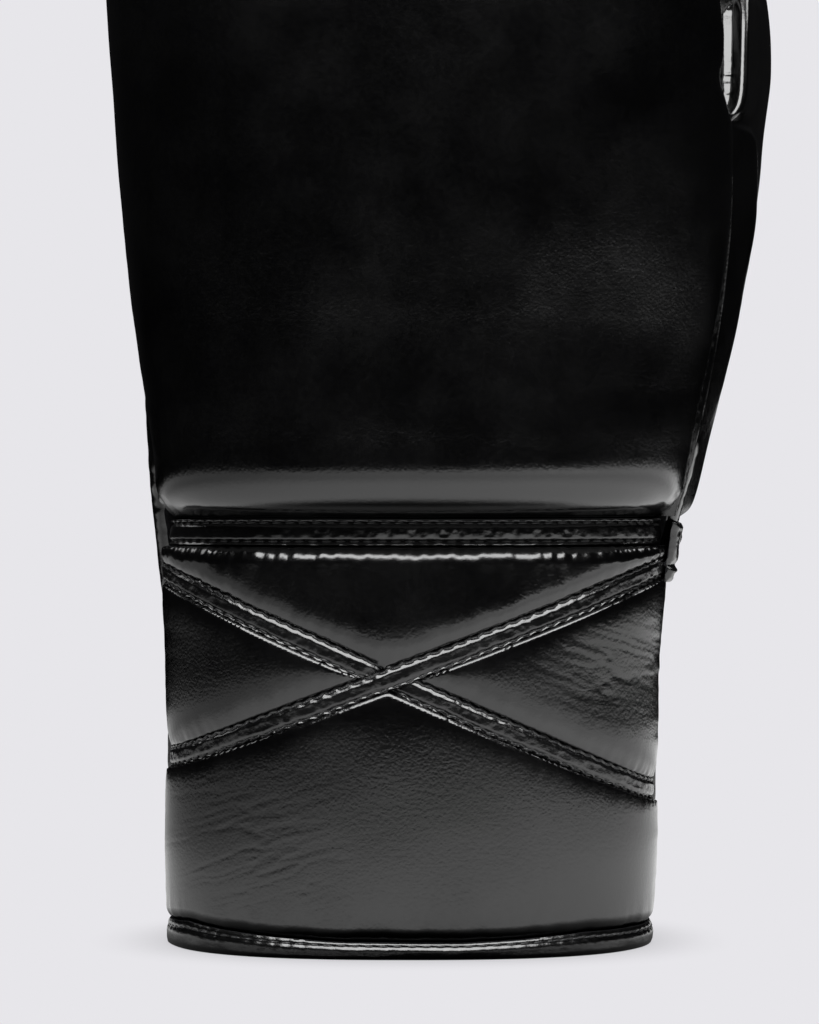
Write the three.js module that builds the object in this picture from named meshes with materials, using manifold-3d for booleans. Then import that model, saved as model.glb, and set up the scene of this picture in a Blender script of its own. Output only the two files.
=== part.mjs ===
// A left-hand laced boxing glove in black leather, standing upright on its cuff.
// The back of the hand faces -Y, the palm faces +Y, the thumb is on the +X side and +Z is up.
// All lengths are in millimetres.
import * as THREE from "three";
import { mergeVertices } from "three/addons/utils/BufferGeometryUtils.js";
import Module from "manifold-3d";

const wasm = await Module();
wasm.setup();

// Driving dimensions of the glove
const CUFF_WIDTH = 113; // side to side, outside
const CUFF_DEPTH = 84; // back of the hand to palm, outside
const CUFF_HEIGHT = 98; // floor to the wrist seam
const MITT_WIDTH = 148; // widest, without the thumb
const MITT_DEPTH = 136; // back of the hand to the front of the curled fingers
const MITT_HEIGHT = 204; // wrist seam to the top of the knuckles
const THUMB_THICKNESS = 47; // widest, outside
const THUMB_REACH = 164; // wrist seam to the thumb's tip

// Walls, padding and seams
const CUFF_PALM_WALL = 6.5;
const CUFF_SIDE_WALL = 7.5;
const KNUCKLE_PAD = 46;
const PALM_WALL = 9;
const MITT_SIDE_WALL = 13;
const THUMB_WALL = 11;
const SEAM_GAP = 0.4; // between neighbouring pieces
const SEAM_DEPTH = 2.6; // how far a sewn edge rolls under
const ROLL_LENGTH = 4.5; // how far from the seam the roll reaches
const WRIST_ROLL = 5; // how far the mitt's lower edge bulges over the wrist
const WRIST_ROLL_HEIGHT = 11; // wrist seam to where that bulge has faded

// Trim
const BINDING_HEIGHT = 5;
const BINDING_PROUD = 0.9;
const BAND_HEIGHT = 6.4;
const BAND_RECESS = 1.8;
const STRAP_WIDTH = 5;
const STRAP_THICKNESS = 1.6;
const STRAP_RECESS = 2.4;
const STRAP_CLEARANCE = 0.35;
const STRAP_END = 2; // seam to a strap's end
const QUILT_CROWN = 2.2;
const MITT_CROWN = 1.4;
const PALM_CROWN = 0.8;
const FLAP_CROWN = 0.4;
const PIPING_RADIUS = 1.1;
const PIPING_SUNK = 0.7; // skin to the piping's middle line
const TAB_LENGTH = 17;
const TAB_WIDTH = 10.5;
const TAB_THICKNESS = 1.5;
const TAB_CLEARANCE = 0.3;

// Lacing, at the middle of the palm side
const SLIT_WIDTH = 10;
const EYELET_PAIRS = 6;
const EYELET_RADIUS = 4.4;
const EYELET_HOLE_RADIUS = 2.3;
const EYELET_FLANGE = 0.9;
const EYELET_CLEARANCE = 0.35;
const EYELET_INSET = 10; // slit edge to eyelet centre
const FIRST_EYELET = 16; // floor to the lowest eyelet
const LAST_EYELET = 12; // highest eyelet to the slit's top end
const TONGUE_WIDTH = 40;
const TONGUE_THICKNESS = 3;
const TONGUE_CLEARANCE = 0.5;

// How finely the curved pieces are cut into faces
const BACK_SEGMENTS = 18;
const PALM_SEGMENTS = 12;
const FLAP_SEGMENTS = 6;
const BINDING_SEGMENTS = 36;
const THUMB_SEGMENTS = 22;
const THUMB_RINGS = 21;
const MITT_STEP = 0.8;
const CUFF_STEP = 0.5;

// Outer sections of the glove, floor to fingertips. Each section runs from a point on the back to a
// point on the palm. Cuff heights are shares of CUFF_HEIGHT and its y are shares of CUFF_DEPTH;
// mitt heights are shares of MITT_HEIGHT above the wrist and its y are shares of MITT_DEPTH.
// pinky and thumb are half widths, as shares of CUFF_WIDTH or MITT_WIDTH.
const CUFF_SECTIONS = [
  { backY: -0.5, backZ: 0.0, palmY: 0.5, palmZ: 0.0, pinky: 0.494, thumb: 0.494 },
  { backY: -0.505, backZ: 0.25, palmY: 0.495, palmZ: 0.25, pinky: 0.499, thumb: 0.505 },
  { backY: -0.505, backZ: 0.5, palmY: 0.485, palmZ: 0.5, pinky: 0.497, thumb: 0.509 },
  { backY: -0.5, backZ: 0.75, palmY: 0.47, palmZ: 0.75, pinky: 0.504, thumb: 0.516 },
  { backY: -0.5, backZ: 1.0, palmY: 0.45, palmZ: 1.0, pinky: 0.526, thumb: 0.553 },
];
const MITT_SECTIONS = [
  { backY: -0.388, backZ: 0.07, palmY: 0.271, palmZ: 0.098, pinky: 0.409, thumb: 0.451 },
  { backY: -0.397, backZ: 0.222, palmY: 0.265, palmZ: 0.196, pinky: 0.421, thumb: 0.486 },
  { backY: -0.411, backZ: 0.362, palmY: 0.26, palmZ: 0.294, pinky: 0.437, thumb: 0.506 },
  { backY: -0.424, backZ: 0.5, palmY: 0.26, palmZ: 0.382, pinky: 0.45, thumb: 0.509 },
  { backY: -0.419, backZ: 0.632, palmY: 0.263, palmZ: 0.456, pinky: 0.462, thumb: 0.503 },
  { backY: -0.371, backZ: 0.76, palmY: 0.274, palmZ: 0.51, pinky: 0.47, thumb: 0.494 },
  { backY: -0.272, backZ: 0.873, palmY: 0.297, palmZ: 0.542, pinky: 0.473, thumb: 0.487 },
  { backY: -0.118, backZ: 0.958, palmY: 0.33, palmZ: 0.558, pinky: 0.469, thumb: 0.474 },
  { backY: 0.066, backZ: 0.998, palmY: 0.365, palmZ: 0.562, pinky: 0.458, thumb: 0.456 },
  { backY: 0.243, backZ: 0.982, palmY: 0.4, palmZ: 0.556, pinky: 0.443, thumb: 0.434 },
  { backY: 0.397, backZ: 0.922, palmY: 0.429, palmZ: 0.544, pinky: 0.423, thumb: 0.408 },
  { backY: 0.507, backZ: 0.829, palmY: 0.456, palmZ: 0.529, pinky: 0.399, thumb: 0.381 },
  { backY: 0.566, backZ: 0.721, palmY: 0.478, palmZ: 0.519, pinky: 0.366, thumb: 0.347 },
  { backY: 0.568, backZ: 0.618, palmY: 0.496, palmZ: 0.513, pinky: 0.322, thumb: 0.305 },
  { backY: 0.539, backZ: 0.541, palmY: 0.508, palmZ: 0.511, pinky: 0.248, thumb: 0.236 },
  { backY: 0.521, backZ: 0.514, palmY: 0.515, palmZ: 0.5075, pinky: 0.17, thumb: 0.16 },
];

// The padding on the back of each section, as a share of KNUCKLE_PAD, and the two seams where the
// back panels end, in degrees of turn from the middle of the back.
const CUFF_PADDING = [
  { back: 0.26, thumbSeam: 90, pinkySeam: 90 },
  { back: 0.26, thumbSeam: 90, pinkySeam: 90 },
  { back: 0.26, thumbSeam: 89, pinkySeam: 89 },
  { back: 0.26, thumbSeam: 86, pinkySeam: 86 },
  { back: 0.26, thumbSeam: 80, pinkySeam: 80 },
];
const MITT_PADDING = [
  { back: 0.35, thumbSeam: 80, pinkySeam: 84 },
  { back: 0.45, thumbSeam: 80, pinkySeam: 93 },
  { back: 0.56, thumbSeam: 78, pinkySeam: 99 },
  { back: 0.7, thumbSeam: 75, pinkySeam: 102 },
  { back: 0.85, thumbSeam: 70, pinkySeam: 103 },
  { back: 0.96, thumbSeam: 70, pinkySeam: 104 },
  { back: 1.0, thumbSeam: 76, pinkySeam: 104 },
  { back: 1.0, thumbSeam: 84, pinkySeam: 103 },
  { back: 0.98, thumbSeam: 90, pinkySeam: 102 },
  { back: 0.92, thumbSeam: 94, pinkySeam: 100 },
  { back: 0.86, thumbSeam: 96, pinkySeam: 99 },
  { back: 0.8, thumbSeam: 96, pinkySeam: 98 },
  { back: 0.74, thumbSeam: 95, pinkySeam: 96 },
  { back: 0.62, thumbSeam: 93, pinkySeam: 94 },
  { back: 0.5, thumbSeam: 91, pinkySeam: 92 },
  { back: 0.4, thumbSeam: 90, pinkySeam: 90 },
];

// Level sections of the thumb. z is a share of THUMB_REACH above the wrist, x a share of MITT_WIDTH,
// y a share of MITT_DEPTH, and the radii are shares of THUMB_THICKNESS.
const THUMB_SECTIONS = [
  { z: 0.004, x: 0.31, y: 0.07, across: 0.385, along: 0.38 },
  { z: 0.03, x: 0.318, y: 0.072, across: 0.435, along: 0.435 },
  { z: 0.13, x: 0.343, y: 0.095, across: 0.45, along: 0.465 },
  { z: 0.26, x: 0.371, y: 0.125, across: 0.478, along: 0.5 },
  { z: 0.385, x: 0.397, y: 0.155, across: 0.487, along: 0.52 },
  { z: 0.5, x: 0.412, y: 0.185, across: 0.5, along: 0.53 },
  { z: 0.62, x: 0.421, y: 0.22, across: 0.503, along: 0.53 },
  { z: 0.73, x: 0.425, y: 0.255, across: 0.5, along: 0.515 },
  { z: 0.83, x: 0.42, y: 0.285, across: 0.465, along: 0.475 },
  { z: 0.91, x: 0.41, y: 0.305, across: 0.38, along: 0.39 },
  { z: 0.965, x: 0.4, y: 0.315, across: 0.26, along: 0.27 },
  { z: 0.995, x: 0.393, y: 0.32, across: 0.1, along: 0.1 },
];

// Middle line of the thumb's hollow, with z, x and y as in THUMB_SECTIONS.
const THUMB_HOLLOW = [
  { z: 0.12, x: 0.16, y: 0.03 },
  { z: 0.24, x: 0.25, y: 0.085 },
  { z: 0.37, x: 0.34, y: 0.145 },
  { z: 0.5, x: 0.395, y: 0.18 },
  { z: 0.66, x: 0.42, y: 0.225 },
  { z: 0.84, x: 0.42, y: 0.27 },
];

const WRIST = CUFF_SECTIONS.length - 1; // place of the wrist seam
const TIP = WRIST + MITT_SECTIONS.length; // place of the fingertips' seam
const HOLLOW_TIP = TIP - 3.6; // place where the hand's hollow ends
const HOLLOW_BEND = WRIST + 5; // from here on the lining runs shorter than the skin
const HALF_TURN = Math.PI;
const ROUNDNESS = 2.45; // 2 is an ellipse, and more is squarer
const TIP_TAPER = 2; // the edges stop rolling under this many places before the fingertips' seam

const CUFF_SIDES = { base: 0, height: CUFF_HEIGHT, depth: CUFF_DEPTH, width: CUFF_WIDTH };
const MITT_SIDES = { base: CUFF_HEIGHT, height: MITT_HEIGHT, depth: MITT_DEPTH, width: MITT_WIDTH };

// A section in millimetres and radians.
const sized = (section, padding, sides, palmPad, sidePad) => ({
  backY: section.backY * sides.depth,
  backZ: sides.base + section.backZ * sides.height,
  palmY: section.palmY * sides.depth,
  palmZ: sides.base + section.palmZ * sides.height,
  pinky: section.pinky * sides.width,
  thumb: section.thumb * sides.width,
  backPad: padding.back * KNUCKLE_PAD,
  palmPad,
  sidePad,
  thumbSeam: THREE.MathUtils.degToRad(padding.thumbSeam),
  pinkySeam: THREE.MathUtils.degToRad(padding.pinkySeam),
});

const ROWS = [
  ...CUFF_SECTIONS.map((s, i) => sized(s, CUFF_PADDING[i], CUFF_SIDES, CUFF_PALM_WALL, CUFF_SIDE_WALL)),
  ...MITT_SECTIONS.map((s, i) => sized(s, MITT_PADDING[i], MITT_SIDES, PALM_WALL, MITT_SIDE_WALL)),
];

// A column of a table at a place between its rows, on a smooth curve through them.
function along(rows, column, place) {
  const last = rows.length - 1;
  const i = THREE.MathUtils.clamp(Math.floor(place), 0, last - 1);
  const t = place - i;
  const at = (k) => {
    if (k < 0) return 2 * rows[0][column] - rows[1][column];
    if (k > last) return 2 * rows[last][column] - rows[last - 1][column];
    return rows[k][column];
  };
  const [a, b, c, d] = [at(i - 1), at(i), at(i + 1), at(i + 2)];
  const bend = (2 * a - 5 * b + 4 * c - d) * t * t + (3 * b - a - 3 * c + d) * t * t * t;
  return 0.5 * (2 * b + (c - a) * t + bend);
}

// A point of a section whose back and palm points are given. turn is 0 at the middle of the back,
// grows towards the thumb and is half a turn at the middle of the palm.
function sectionPoint(back, palm, pinky, thumb, turn) {
  const power = 2 / ROUNDNESS;
  const sideways = Math.sin(turn);
  const backwards = Math.cos(turn);
  const x = Math.sign(sideways) * Math.abs(sideways) ** power * (sideways > 0 ? thumb : pinky);
  const share = 0.5 - 0.5 * Math.sign(backwards) * Math.abs(backwards) ** power;
  const middle = back.clone().lerp(palm, share);
  return middle.setX(x);
}

const backAt = (place) =>
  new THREE.Vector3(0, along(ROWS, "backY", place), along(ROWS, "backZ", place));
const palmAt = (place) =>
  new THREE.Vector3(0, along(ROWS, "palmY", place), along(ROWS, "palmZ", place));

// The glove's outer skin, before any edge rolls under.
function skin(place, turn) {
  const pinky = along(ROWS, "pinky", place);
  const thumb = along(ROWS, "thumb", place);
  return sectionPoint(backAt(place), palmAt(place), pinky, thumb, turn);
}

// The lining's place under a place of the skin: the hand's hollow ends before the fingertips do.
function liningPlace(place) {
  if (place <= HOLLOW_BEND) return place;
  return HOLLOW_BEND + ((place - HOLLOW_BEND) * (HOLLOW_TIP - HOLLOW_BEND)) / (TIP - HOLLOW_BEND);
}

// The inner face of the walls, which is the outside of the hand's hollow, and inset from it.
function lining(outerPlace, turn, inset = 0) {
  const place = liningPlace(outerPlace);
  const back = backAt(place);
  const palm = palmAt(place);
  const depth = back.distanceTo(palm);
  const backPad = along(ROWS, "backPad", place) + inset;
  const palmPad = along(ROWS, "palmPad", place) + inset;
  const sidePad = along(ROWS, "sidePad", place) + inset;
  const fit = Math.min(1, (depth - 2 * SEAM_GAP) / (backPad + palmPad));
  const innerBack = back.clone().lerp(palm, (fit * backPad) / depth);
  const innerPalm = palm.clone().lerp(back, (fit * palmPad) / depth);
  const pinky = along(ROWS, "pinky", place) - sidePad;
  const thumb = along(ROWS, "thumb", place) - sidePad;
  return sectionPoint(innerBack, innerPalm, pinky, thumb, turn);
}

// The direction out of the skin at a point of it.
function outwards(place, turn) {
  const step = 0.01;
  const up = skin(Math.min(place + step, TIP), turn).sub(skin(Math.max(place - step, 0), turn));
  const round = skin(place, turn + step).sub(skin(place, turn - step));
  return round.cross(up).normalize();
}

const onSkin = (place, turn, height) =>
  skin(place, turn).addScaledVector(outwards(place, turn), height);

// How much turn, or place, a short length covers on the skin.
function turnFor(length, place, turn) {
  const step = 0.01;
  return (length * 2 * step) / skin(place, turn + step).distanceTo(skin(place, turn - step));
}

function placeFor(length, place, turn = 0) {
  const step = 0.01;
  return (length * 2 * step) / skin(place + step, turn).distanceTo(skin(place - step, turn));
}

// The cuff's place at a height, and the turns at which the back or the palm side has a given x.
const cuffPlace = (height) => (height / CUFF_HEIGHT) * WRIST;
const palmTurn = (place, x) => HALF_TURN - backTurn(place, x);

function palmPlace(height) {
  let [low, high] = [0, WRIST + MITT_SECTIONS.length / 2];
  for (let i = 0; i < 30; i++) {
    const middle = (low + high) / 2;
    if (palmAt(middle).z < height) low = middle;
    else high = middle;
  }
  return low;
}

function backTurn(place, x) {
  const half = along(ROWS, x > 0 ? "thumb" : "pinky", place);
  const share = THREE.MathUtils.clamp(Math.abs(x) / half, 0, 1) ** (ROUNDNESS / 2);
  return Math.sign(x) * Math.asin(Math.min(share, 1));
}

// The two seams beside the back panels.
const thumbSeam = (place) => along(ROWS, "thumbSeam", place);
const pinkySeam = (place) => -along(ROWS, "pinkySeam", place);

// A closed solid between an outer and an inner face, each a function of two shares from 0 to 1.
function slab(outer, inner, across, up) {
  const positions = [];
  for (const face of [outer, inner])
    for (let j = 0; j <= up; j++)
      for (let i = 0; i <= across; i++) positions.push(...face(i / across, j / up).toArray());
  const at = (i, j) => j * (across + 1) + i;
  const layer = (across + 1) * (up + 1);
  const index = [];
  for (let j = 0; j < up; j++)
    for (let i = 0; i < across; i++) {
      const [a, b, c, d] = [at(i, j), at(i + 1, j), at(i + 1, j + 1), at(i, j + 1)];
      index.push(a, b, c, a, c, d);
      index.push(layer + a, layer + c, layer + b, layer + a, layer + d, layer + c);
    }
  // The rim's faces are split the same way on both sides of a seam, so that neighbours keep clear.
  const rimUp = (a, b) => index.push(a, layer + a, layer + b, a, layer + b, b);
  const rimDown = (a, b) => index.push(a, layer + a, b, b, layer + a, layer + b);
  for (let i = 0; i < across; i++) {
    rimUp(at(i, 0), at(i + 1, 0));
    rimDown(at(i + 1, up), at(i, up));
  }
  for (let j = 0; j < up; j++) {
    rimUp(at(across, j), at(across, j + 1));
    rimDown(at(0, j + 1), at(0, j));
  }
  return new THREE.BufferGeometry()
    .setAttribute("position", new THREE.Float32BufferAttribute(positions, 3))
    .setIndex(index);
}

// A tube through level rings, closed at both ends. ring(share, turn) gives its points.
function tube(ring, around, up) {
  const positions = [];
  for (let j = 0; j <= up; j++)
    for (let i = 0; i < around; i++)
      positions.push(...ring(j / up, (i / around) * 2 * Math.PI).toArray());
  const at = (i, j) => j * around + (i % around);
  const index = [];
  for (let j = 0; j < up; j++)
    for (let i = 0; i < around; i++)
      index.push(at(i, j), at(i + 1, j), at(i + 1, j + 1), at(i, j), at(i + 1, j + 1), at(i, j + 1));
  for (let i = 1; i < around - 1; i++) {
    index.push(at(0, 0), at(i + 1, 0), at(i, 0));
    index.push(at(0, up), at(i, up), at(i + 1, up));
  }
  return new THREE.BufferGeometry()
    .setAttribute("position", new THREE.Float32BufferAttribute(positions, 3))
    .setIndex(index);
}

// Joins and cuts
function solidOf(geometry) {
  const bare = geometry.clone();
  bare.deleteAttribute("normal");
  bare.deleteAttribute("uv");
  const merged = mergeVertices(bare, 1e-3);
  return new wasm.Manifold(
    new wasm.Mesh({
      numProp: 3,
      vertProperties: new Float32Array(merged.attributes.position.array),
      triVerts: new Uint32Array(merged.index.array),
    }),
  );
}

function geometryOf(solid) {
  const mesh = solid.getMesh();
  return new THREE.BufferGeometry()
    .setAttribute("position", new THREE.BufferAttribute(new Float32Array(mesh.vertProperties), 3))
    .setIndex(new THREE.BufferAttribute(new Uint32Array(mesh.triVerts), 1));
}

// The largest body of a cut, without the slivers that a cut can leave.
function mainBody(solid) {
  return solid.decompose().sort((a, b) => b.volume() - a.volume())[0];
}

// The level seams, and the places at which every panel is cut into rows, so that neighbours meet row
// by row. The rows are closer where an edge rolls under.
const BINDING_SEAM = cuffPlace(BINDING_HEIGHT);
const BAND_SEAM = cuffPlace(CUFF_HEIGHT - BAND_HEIGHT);
const FLAP_TOP = WRIST + 1.6;
const SLIT_TOP = palmAt(FLAP_TOP).z;

function sharedPlaces() {
  const rolls = [BINDING_SEAM, BAND_SEAM, WRIST, FLAP_TOP].flatMap((seam) =>
    [-1.6, -0.5, 0.5, 1.6].map((reach) => seam + placeFor(reach * ROLL_LENGTH, seam)),
  );
  const even = [];
  for (let place = CUFF_STEP; place < WRIST; place += CUFF_STEP) even.push(place);
  for (let place = WRIST + MITT_STEP; place < TIP - MITT_STEP / 4; place += MITT_STEP) even.push(place);
  const farFromRolls = (place) => rolls.every((roll) => Math.abs(roll - place) > 0.16);
  return [...rolls, ...even.filter(farFromRolls)].sort((a, b) => a - b);
}
const SHARED_PLACES = sharedPlaces();

function rowPlaces(low, high) {
  const margin = 0.02;
  const between = SHARED_PLACES.filter((place) => place > low + margin && place < high - margin);
  return [low, ...between, high];
}

// A share across a panel, with the columns closer together at its two edges.
const closerAtEdges = (u) => 0.4 * u + 0.3 * (1 - Math.cos(Math.PI * u));

// A sewn panel between two places and two turns. Its edges roll under at the seams and its middle
// stands proud by crown. relief(point) adds height to it.
function panel({ from, to, left, right, across, crown, relief = () => 0 }) {
  const gap = SEAM_GAP / 2;
  const low = from + placeFor(gap, from);
  const high = to < TIP ? to - placeFor(gap, to) : to;
  const places = rowPlaces(low, high);
  const up = places.length - 1;
  const placeOf = (v) => places[Math.round(v * up)];
  const turnOf = (u, place) => {
    const near = Math.min(place, TIP - 0.8);
    const a = left(place) + turnFor(gap, near, left(near));
    const b = right(place) - turnFor(gap, near, right(near));
    return a + (b - a) * closerAtEdges(u);
  };
  const outer = (u, v) => {
    const place = placeOf(v);
    const turn = turnOf(u, place);
    const point = skin(place, turn);
    const edges = [
      skin(place, turnOf(0, place)),
      skin(place, turnOf(1, place)),
      skin(low, turnOf(u, low)),
    ];
    if (to < TIP) edges.push(skin(high, turnOf(u, high)));
    const rise = edges.reduce(
      (product, edge) => product * (1 - Math.exp(-point.distanceTo(edge) / ROLL_LENGTH)),
      1,
    );
    const toTip = to < TIP ? 1 : Math.min(1, (TIP - place) / TIP_TAPER);
    const height = (-SEAM_DEPTH + (SEAM_DEPTH + crown + relief(point)) * rise) * toTip;
    return onSkin(place, turn, height);
  };
  const inner = (u, v) => lining(placeOf(v), turnOf(u, placeOf(v)));
  return slab(outer, inner, across, up);
}

// The two straps that cross on the back of the cuff, as heights at its two sides.
const STRAPS = [
  { pinkyEnd: 0.868, thumbEnd: 0.367 },
  { pinkyEnd: 0.439, thumbEnd: 0.875 },
];

function strapHeight(strap, x) {
  const share = x / CUFF_WIDTH + 0.5;
  return CUFF_HEIGHT * (strap.pinkyEnd + (strap.thumbEnd - strap.pinkyEnd) * share);
}

// A strap's solid, or with clearance the groove that it lies in.
function strapSolid(strap, clearance, top) {
  const rise = ((strap.thumbEnd - strap.pinkyEnd) * CUFF_HEIGHT) / CUFF_WIDTH;
  const halfWidth = (STRAP_WIDTH / 2 + clearance) * Math.hypot(1, rise);
  const inwards = STRAP_END - clearance;
  const turnAt = (u, place) => {
    const a = pinkySeam(place) + turnFor(inwards, place, pinkySeam(place));
    const b = thumbSeam(place) - turnFor(inwards, place, thumbSeam(place));
    return a + (b - a) * u;
  };
  const placeAt = (u, v, near) => {
    const x = skin(near, turnAt(u, near)).x;
    return cuffPlace(strapHeight(strap, x) + (2 * v - 1) * halfWidth);
  };
  const face = (height) => (u, v) => {
    const place = placeAt(u, v, placeAt(u, v, cuffPlace(CUFF_HEIGHT / 2)));
    return onSkin(place, turnAt(u, place), height);
  };
  const bottom = -STRAP_RECESS - STRAP_THICKNESS / 2 - clearance;
  return solidOf(slab(face(top), face(bottom), BACK_SEGMENTS, 2));
}

const strapTop = STRAP_THICKNESS / 2 - STRAP_RECESS;
const crossedStraps = STRAPS.map((strap) => strapSolid(strap, 0, strapTop)).reduce((a, b) => a.add(b));
const strapGrooves = STRAPS.map((strap) =>
  strapSolid(strap, STRAP_CLEARANCE, QUILT_CROWN + SEAM_DEPTH),
).reduce((a, b) => a.add(b));

// How far the quilted cuff has risen between the straps at a point, from 0 on a strap to 1.
function quiltRise(point) {
  return STRAPS.reduce((product, strap) => {
    const off = Math.abs(point.z - strapHeight(strap, point.x));
    const away = Math.max(0, off - STRAP_WIDTH / 2);
    return product * (1 - Math.exp(-away / ROLL_LENGTH));
  }, 1);
}

// Cuff, back of the hand
const cuffBackPanel = panel({
  from: BINDING_SEAM,
  to: BAND_SEAM,
  left: pinkySeam,
  right: thumbSeam,
  across: BACK_SEGMENTS,
  crown: 0,
  relief: (point) => QUILT_CROWN * quiltRise(point),
});
const cuffBack = mainBody(solidOf(cuffBackPanel).subtract(strapGrooves));

// The wrist band, a strip sunk between the cuff and the mitt
const BAND_PLACES = rowPlaces(
  cuffPlace(CUFF_HEIGHT - BAND_HEIGHT + SEAM_GAP / 2),
  cuffPlace(CUFF_HEIGHT - SEAM_GAP / 2),
);
function bandFace(height) {
  return (u, v) => {
    const place = BAND_PLACES[Math.round(v * (BAND_PLACES.length - 1))];
    const a = pinkySeam(place) + turnFor(2 * SEAM_GAP, place, pinkySeam(place));
    const b = thumbSeam(place) - turnFor(2 * SEAM_GAP, place, thumbSeam(place));
    const turn = a + (b - a) * u;
    return height === null ? lining(place, turn) : onSkin(place, turn, height);
  };
}
const wristBand = slab(
  bandFace(-BAND_RECESS),
  bandFace(null),
  BACK_SEGMENTS,
  BAND_PLACES.length - 1,
);

// The binding round the foot of the cuff, open at the lacing slit
const BINDING_PROFILE = [
  { height: 0, out: 0.3 },
  { height: 0.25, out: 0.85 },
  { height: 0.6, out: 1 },
  { height: 1, out: 0.45 },
];
const slitTurn = (place) => backTurn(place, SLIT_WIDTH / 2);

function bindingFace(out) {
  return (u, v) => {
    const height = along(BINDING_PROFILE, "height", v * (BINDING_PROFILE.length - 1));
    const proud = along(BINDING_PROFILE, "out", v * (BINDING_PROFILE.length - 1)) * BINDING_PROUD;
    const place = cuffPlace(height * (BINDING_HEIGHT - SEAM_GAP / 2));
    const half = HALF_TURN - slitTurn(0);
    const turn = -half + 2 * half * u;
    return out ? onSkin(place, turn, proud) : lining(place, turn, proud);
  };
}
const flatFoot = (face) => (u, v) => (v === 0 ? face(u, v).setZ(0) : face(u, v));
const binding = slab(flatFoot(bindingFace(true)), flatFoot(bindingFace(false)), BINDING_SEGMENTS, 3);

// Palm side: two flaps beside the lacing slit, from the binding to the middle of the palm
const flap = (left, right) => ({
  from: BINDING_SEAM,
  to: FLAP_TOP,
  left,
  right,
  across: FLAP_SEGMENTS,
  crown: FLAP_CROWN,
});
const thumbFlapPanel = panel(flap(thumbSeam, (place) => HALF_TURN - slitTurn(place)));
const pinkyFlapPanel = panel(
  flap(
    (place) => HALF_TURN + slitTurn(place),
    (place) => 2 * HALF_TURN + pinkySeam(place),
  ),
);

// Eyelets, turned so that their axis leaves the flap
function eyeletAxis(side, i) {
  const top = SLIT_TOP - LAST_EYELET;
  const height = FIRST_EYELET + ((top - FIRST_EYELET) * i) / (EYELET_PAIRS - 1);
  const place = palmPlace(height);
  const turn = palmTurn(place, -side * (SLIT_WIDTH / 2 + EYELET_INSET));
  const centre = skin(place, turn);
  const axis = outwards(place, turn);
  const turned = new THREE.Quaternion().setFromUnitVectors(new THREE.Vector3(0, 1, 0), axis);
  return { centre, turned };
}

function eyeletHole({ centre, turned }) {
  const reach = CUFF_PALM_WALL * 4;
  const radius = EYELET_HOLE_RADIUS + EYELET_FLANGE + EYELET_CLEARANCE;
  const tool = new THREE.CylinderGeometry(radius, radius, reach, 8);
  tool.applyQuaternion(turned);
  tool.translate(...centre.toArray());
  return solidOf(tool);
}

function eyeletGeometry() {
  const seat = FLAP_CROWN + EYELET_CLEARANCE;
  const profile = [
    [EYELET_HOLE_RADIUS, -CUFF_PALM_WALL * 0.6],
    [EYELET_HOLE_RADIUS + EYELET_FLANGE, -CUFF_PALM_WALL * 0.6],
    [EYELET_HOLE_RADIUS + EYELET_FLANGE, seat],
    [EYELET_RADIUS, seat],
    [EYELET_HOLE_RADIUS + EYELET_FLANGE, seat + EYELET_FLANGE],
    [EYELET_HOLE_RADIUS, seat + EYELET_FLANGE / 2],
    [EYELET_HOLE_RADIUS, -CUFF_PALM_WALL * 0.6],
  ];
  return new THREE.LatheGeometry(
    profile.map(([r, y]) => new THREE.Vector2(r, y)),
    8,
  );
}

const EYELET_PLACES = [-1, 1].flatMap((side) =>
  Array.from({ length: EYELET_PAIRS }, (_, i) => ({ side, i, ...eyeletAxis(side, i) })),
);
const drilled = (geometry, side) =>
  EYELET_PLACES.filter((e) => e.side === side)
    .map(eyeletHole)
    .reduce((solid, hole) => solid.subtract(hole), solidOf(geometry));
const thumbFlap = drilled(thumbFlapPanel, -1);
const pinkyFlap = drilled(pinkyFlapPanel, 1);

// The tongue behind the slit
function tongueFace(inset) {
  const low = cuffPlace(BINDING_HEIGHT);
  const high = FLAP_TOP + 0.4;
  return (u, v) => {
    const place = low + (high - low) * v;
    return lining(place, palmTurn(place, TONGUE_WIDTH * (0.5 - u)), inset);
  };
}
const tongue = slab(
  tongueFace(TONGUE_CLEARANCE),
  tongueFace(TONGUE_CLEARANCE + TONGUE_THICKNESS),
  6,
  12,
);

// Mitt, whose lower edge bulges over the wrist along the back of the hand
function wristRoll(point) {
  const up = (point.z - CUFF_HEIGHT) / WRIST_ROLL_HEIGHT;
  const forwards = Math.max(0, -point.y / (CUFF_DEPTH / 2));
  return WRIST_ROLL * forwards * Math.exp(-(up ** 3));
}
const mittBackPanel = panel({
  from: WRIST,
  to: TIP,
  left: pinkySeam,
  right: thumbSeam,
  across: BACK_SEGMENTS,
  crown: MITT_CROWN,
  relief: wristRoll,
});
const mittPalmPanel = panel({
  from: FLAP_TOP,
  to: TIP,
  left: thumbSeam,
  right: (place) => 2 * HALF_TURN + pinkySeam(place),
  across: PALM_SEGMENTS,
  crown: PALM_CROWN,
});

// Thumb
const thumbCentre = (rows, place) =>
  new THREE.Vector3(
    along(rows, "x", place) * MITT_WIDTH,
    along(rows, "y", place) * MITT_DEPTH,
    CUFF_HEIGHT + along(rows, "z", place) * THUMB_REACH,
  );

function thumbRing(share, turn) {
  const place = share * (THUMB_SECTIONS.length - 1);
  const across = along(THUMB_SECTIONS, "across", place) * THUMB_THICKNESS;
  const deep = along(THUMB_SECTIONS, "along", place) * THUMB_THICKNESS;
  const out = new THREE.Vector3(across * Math.cos(turn), deep * Math.sin(turn), 0);
  return thumbCentre(THUMB_SECTIONS, place).add(out);
}

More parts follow.
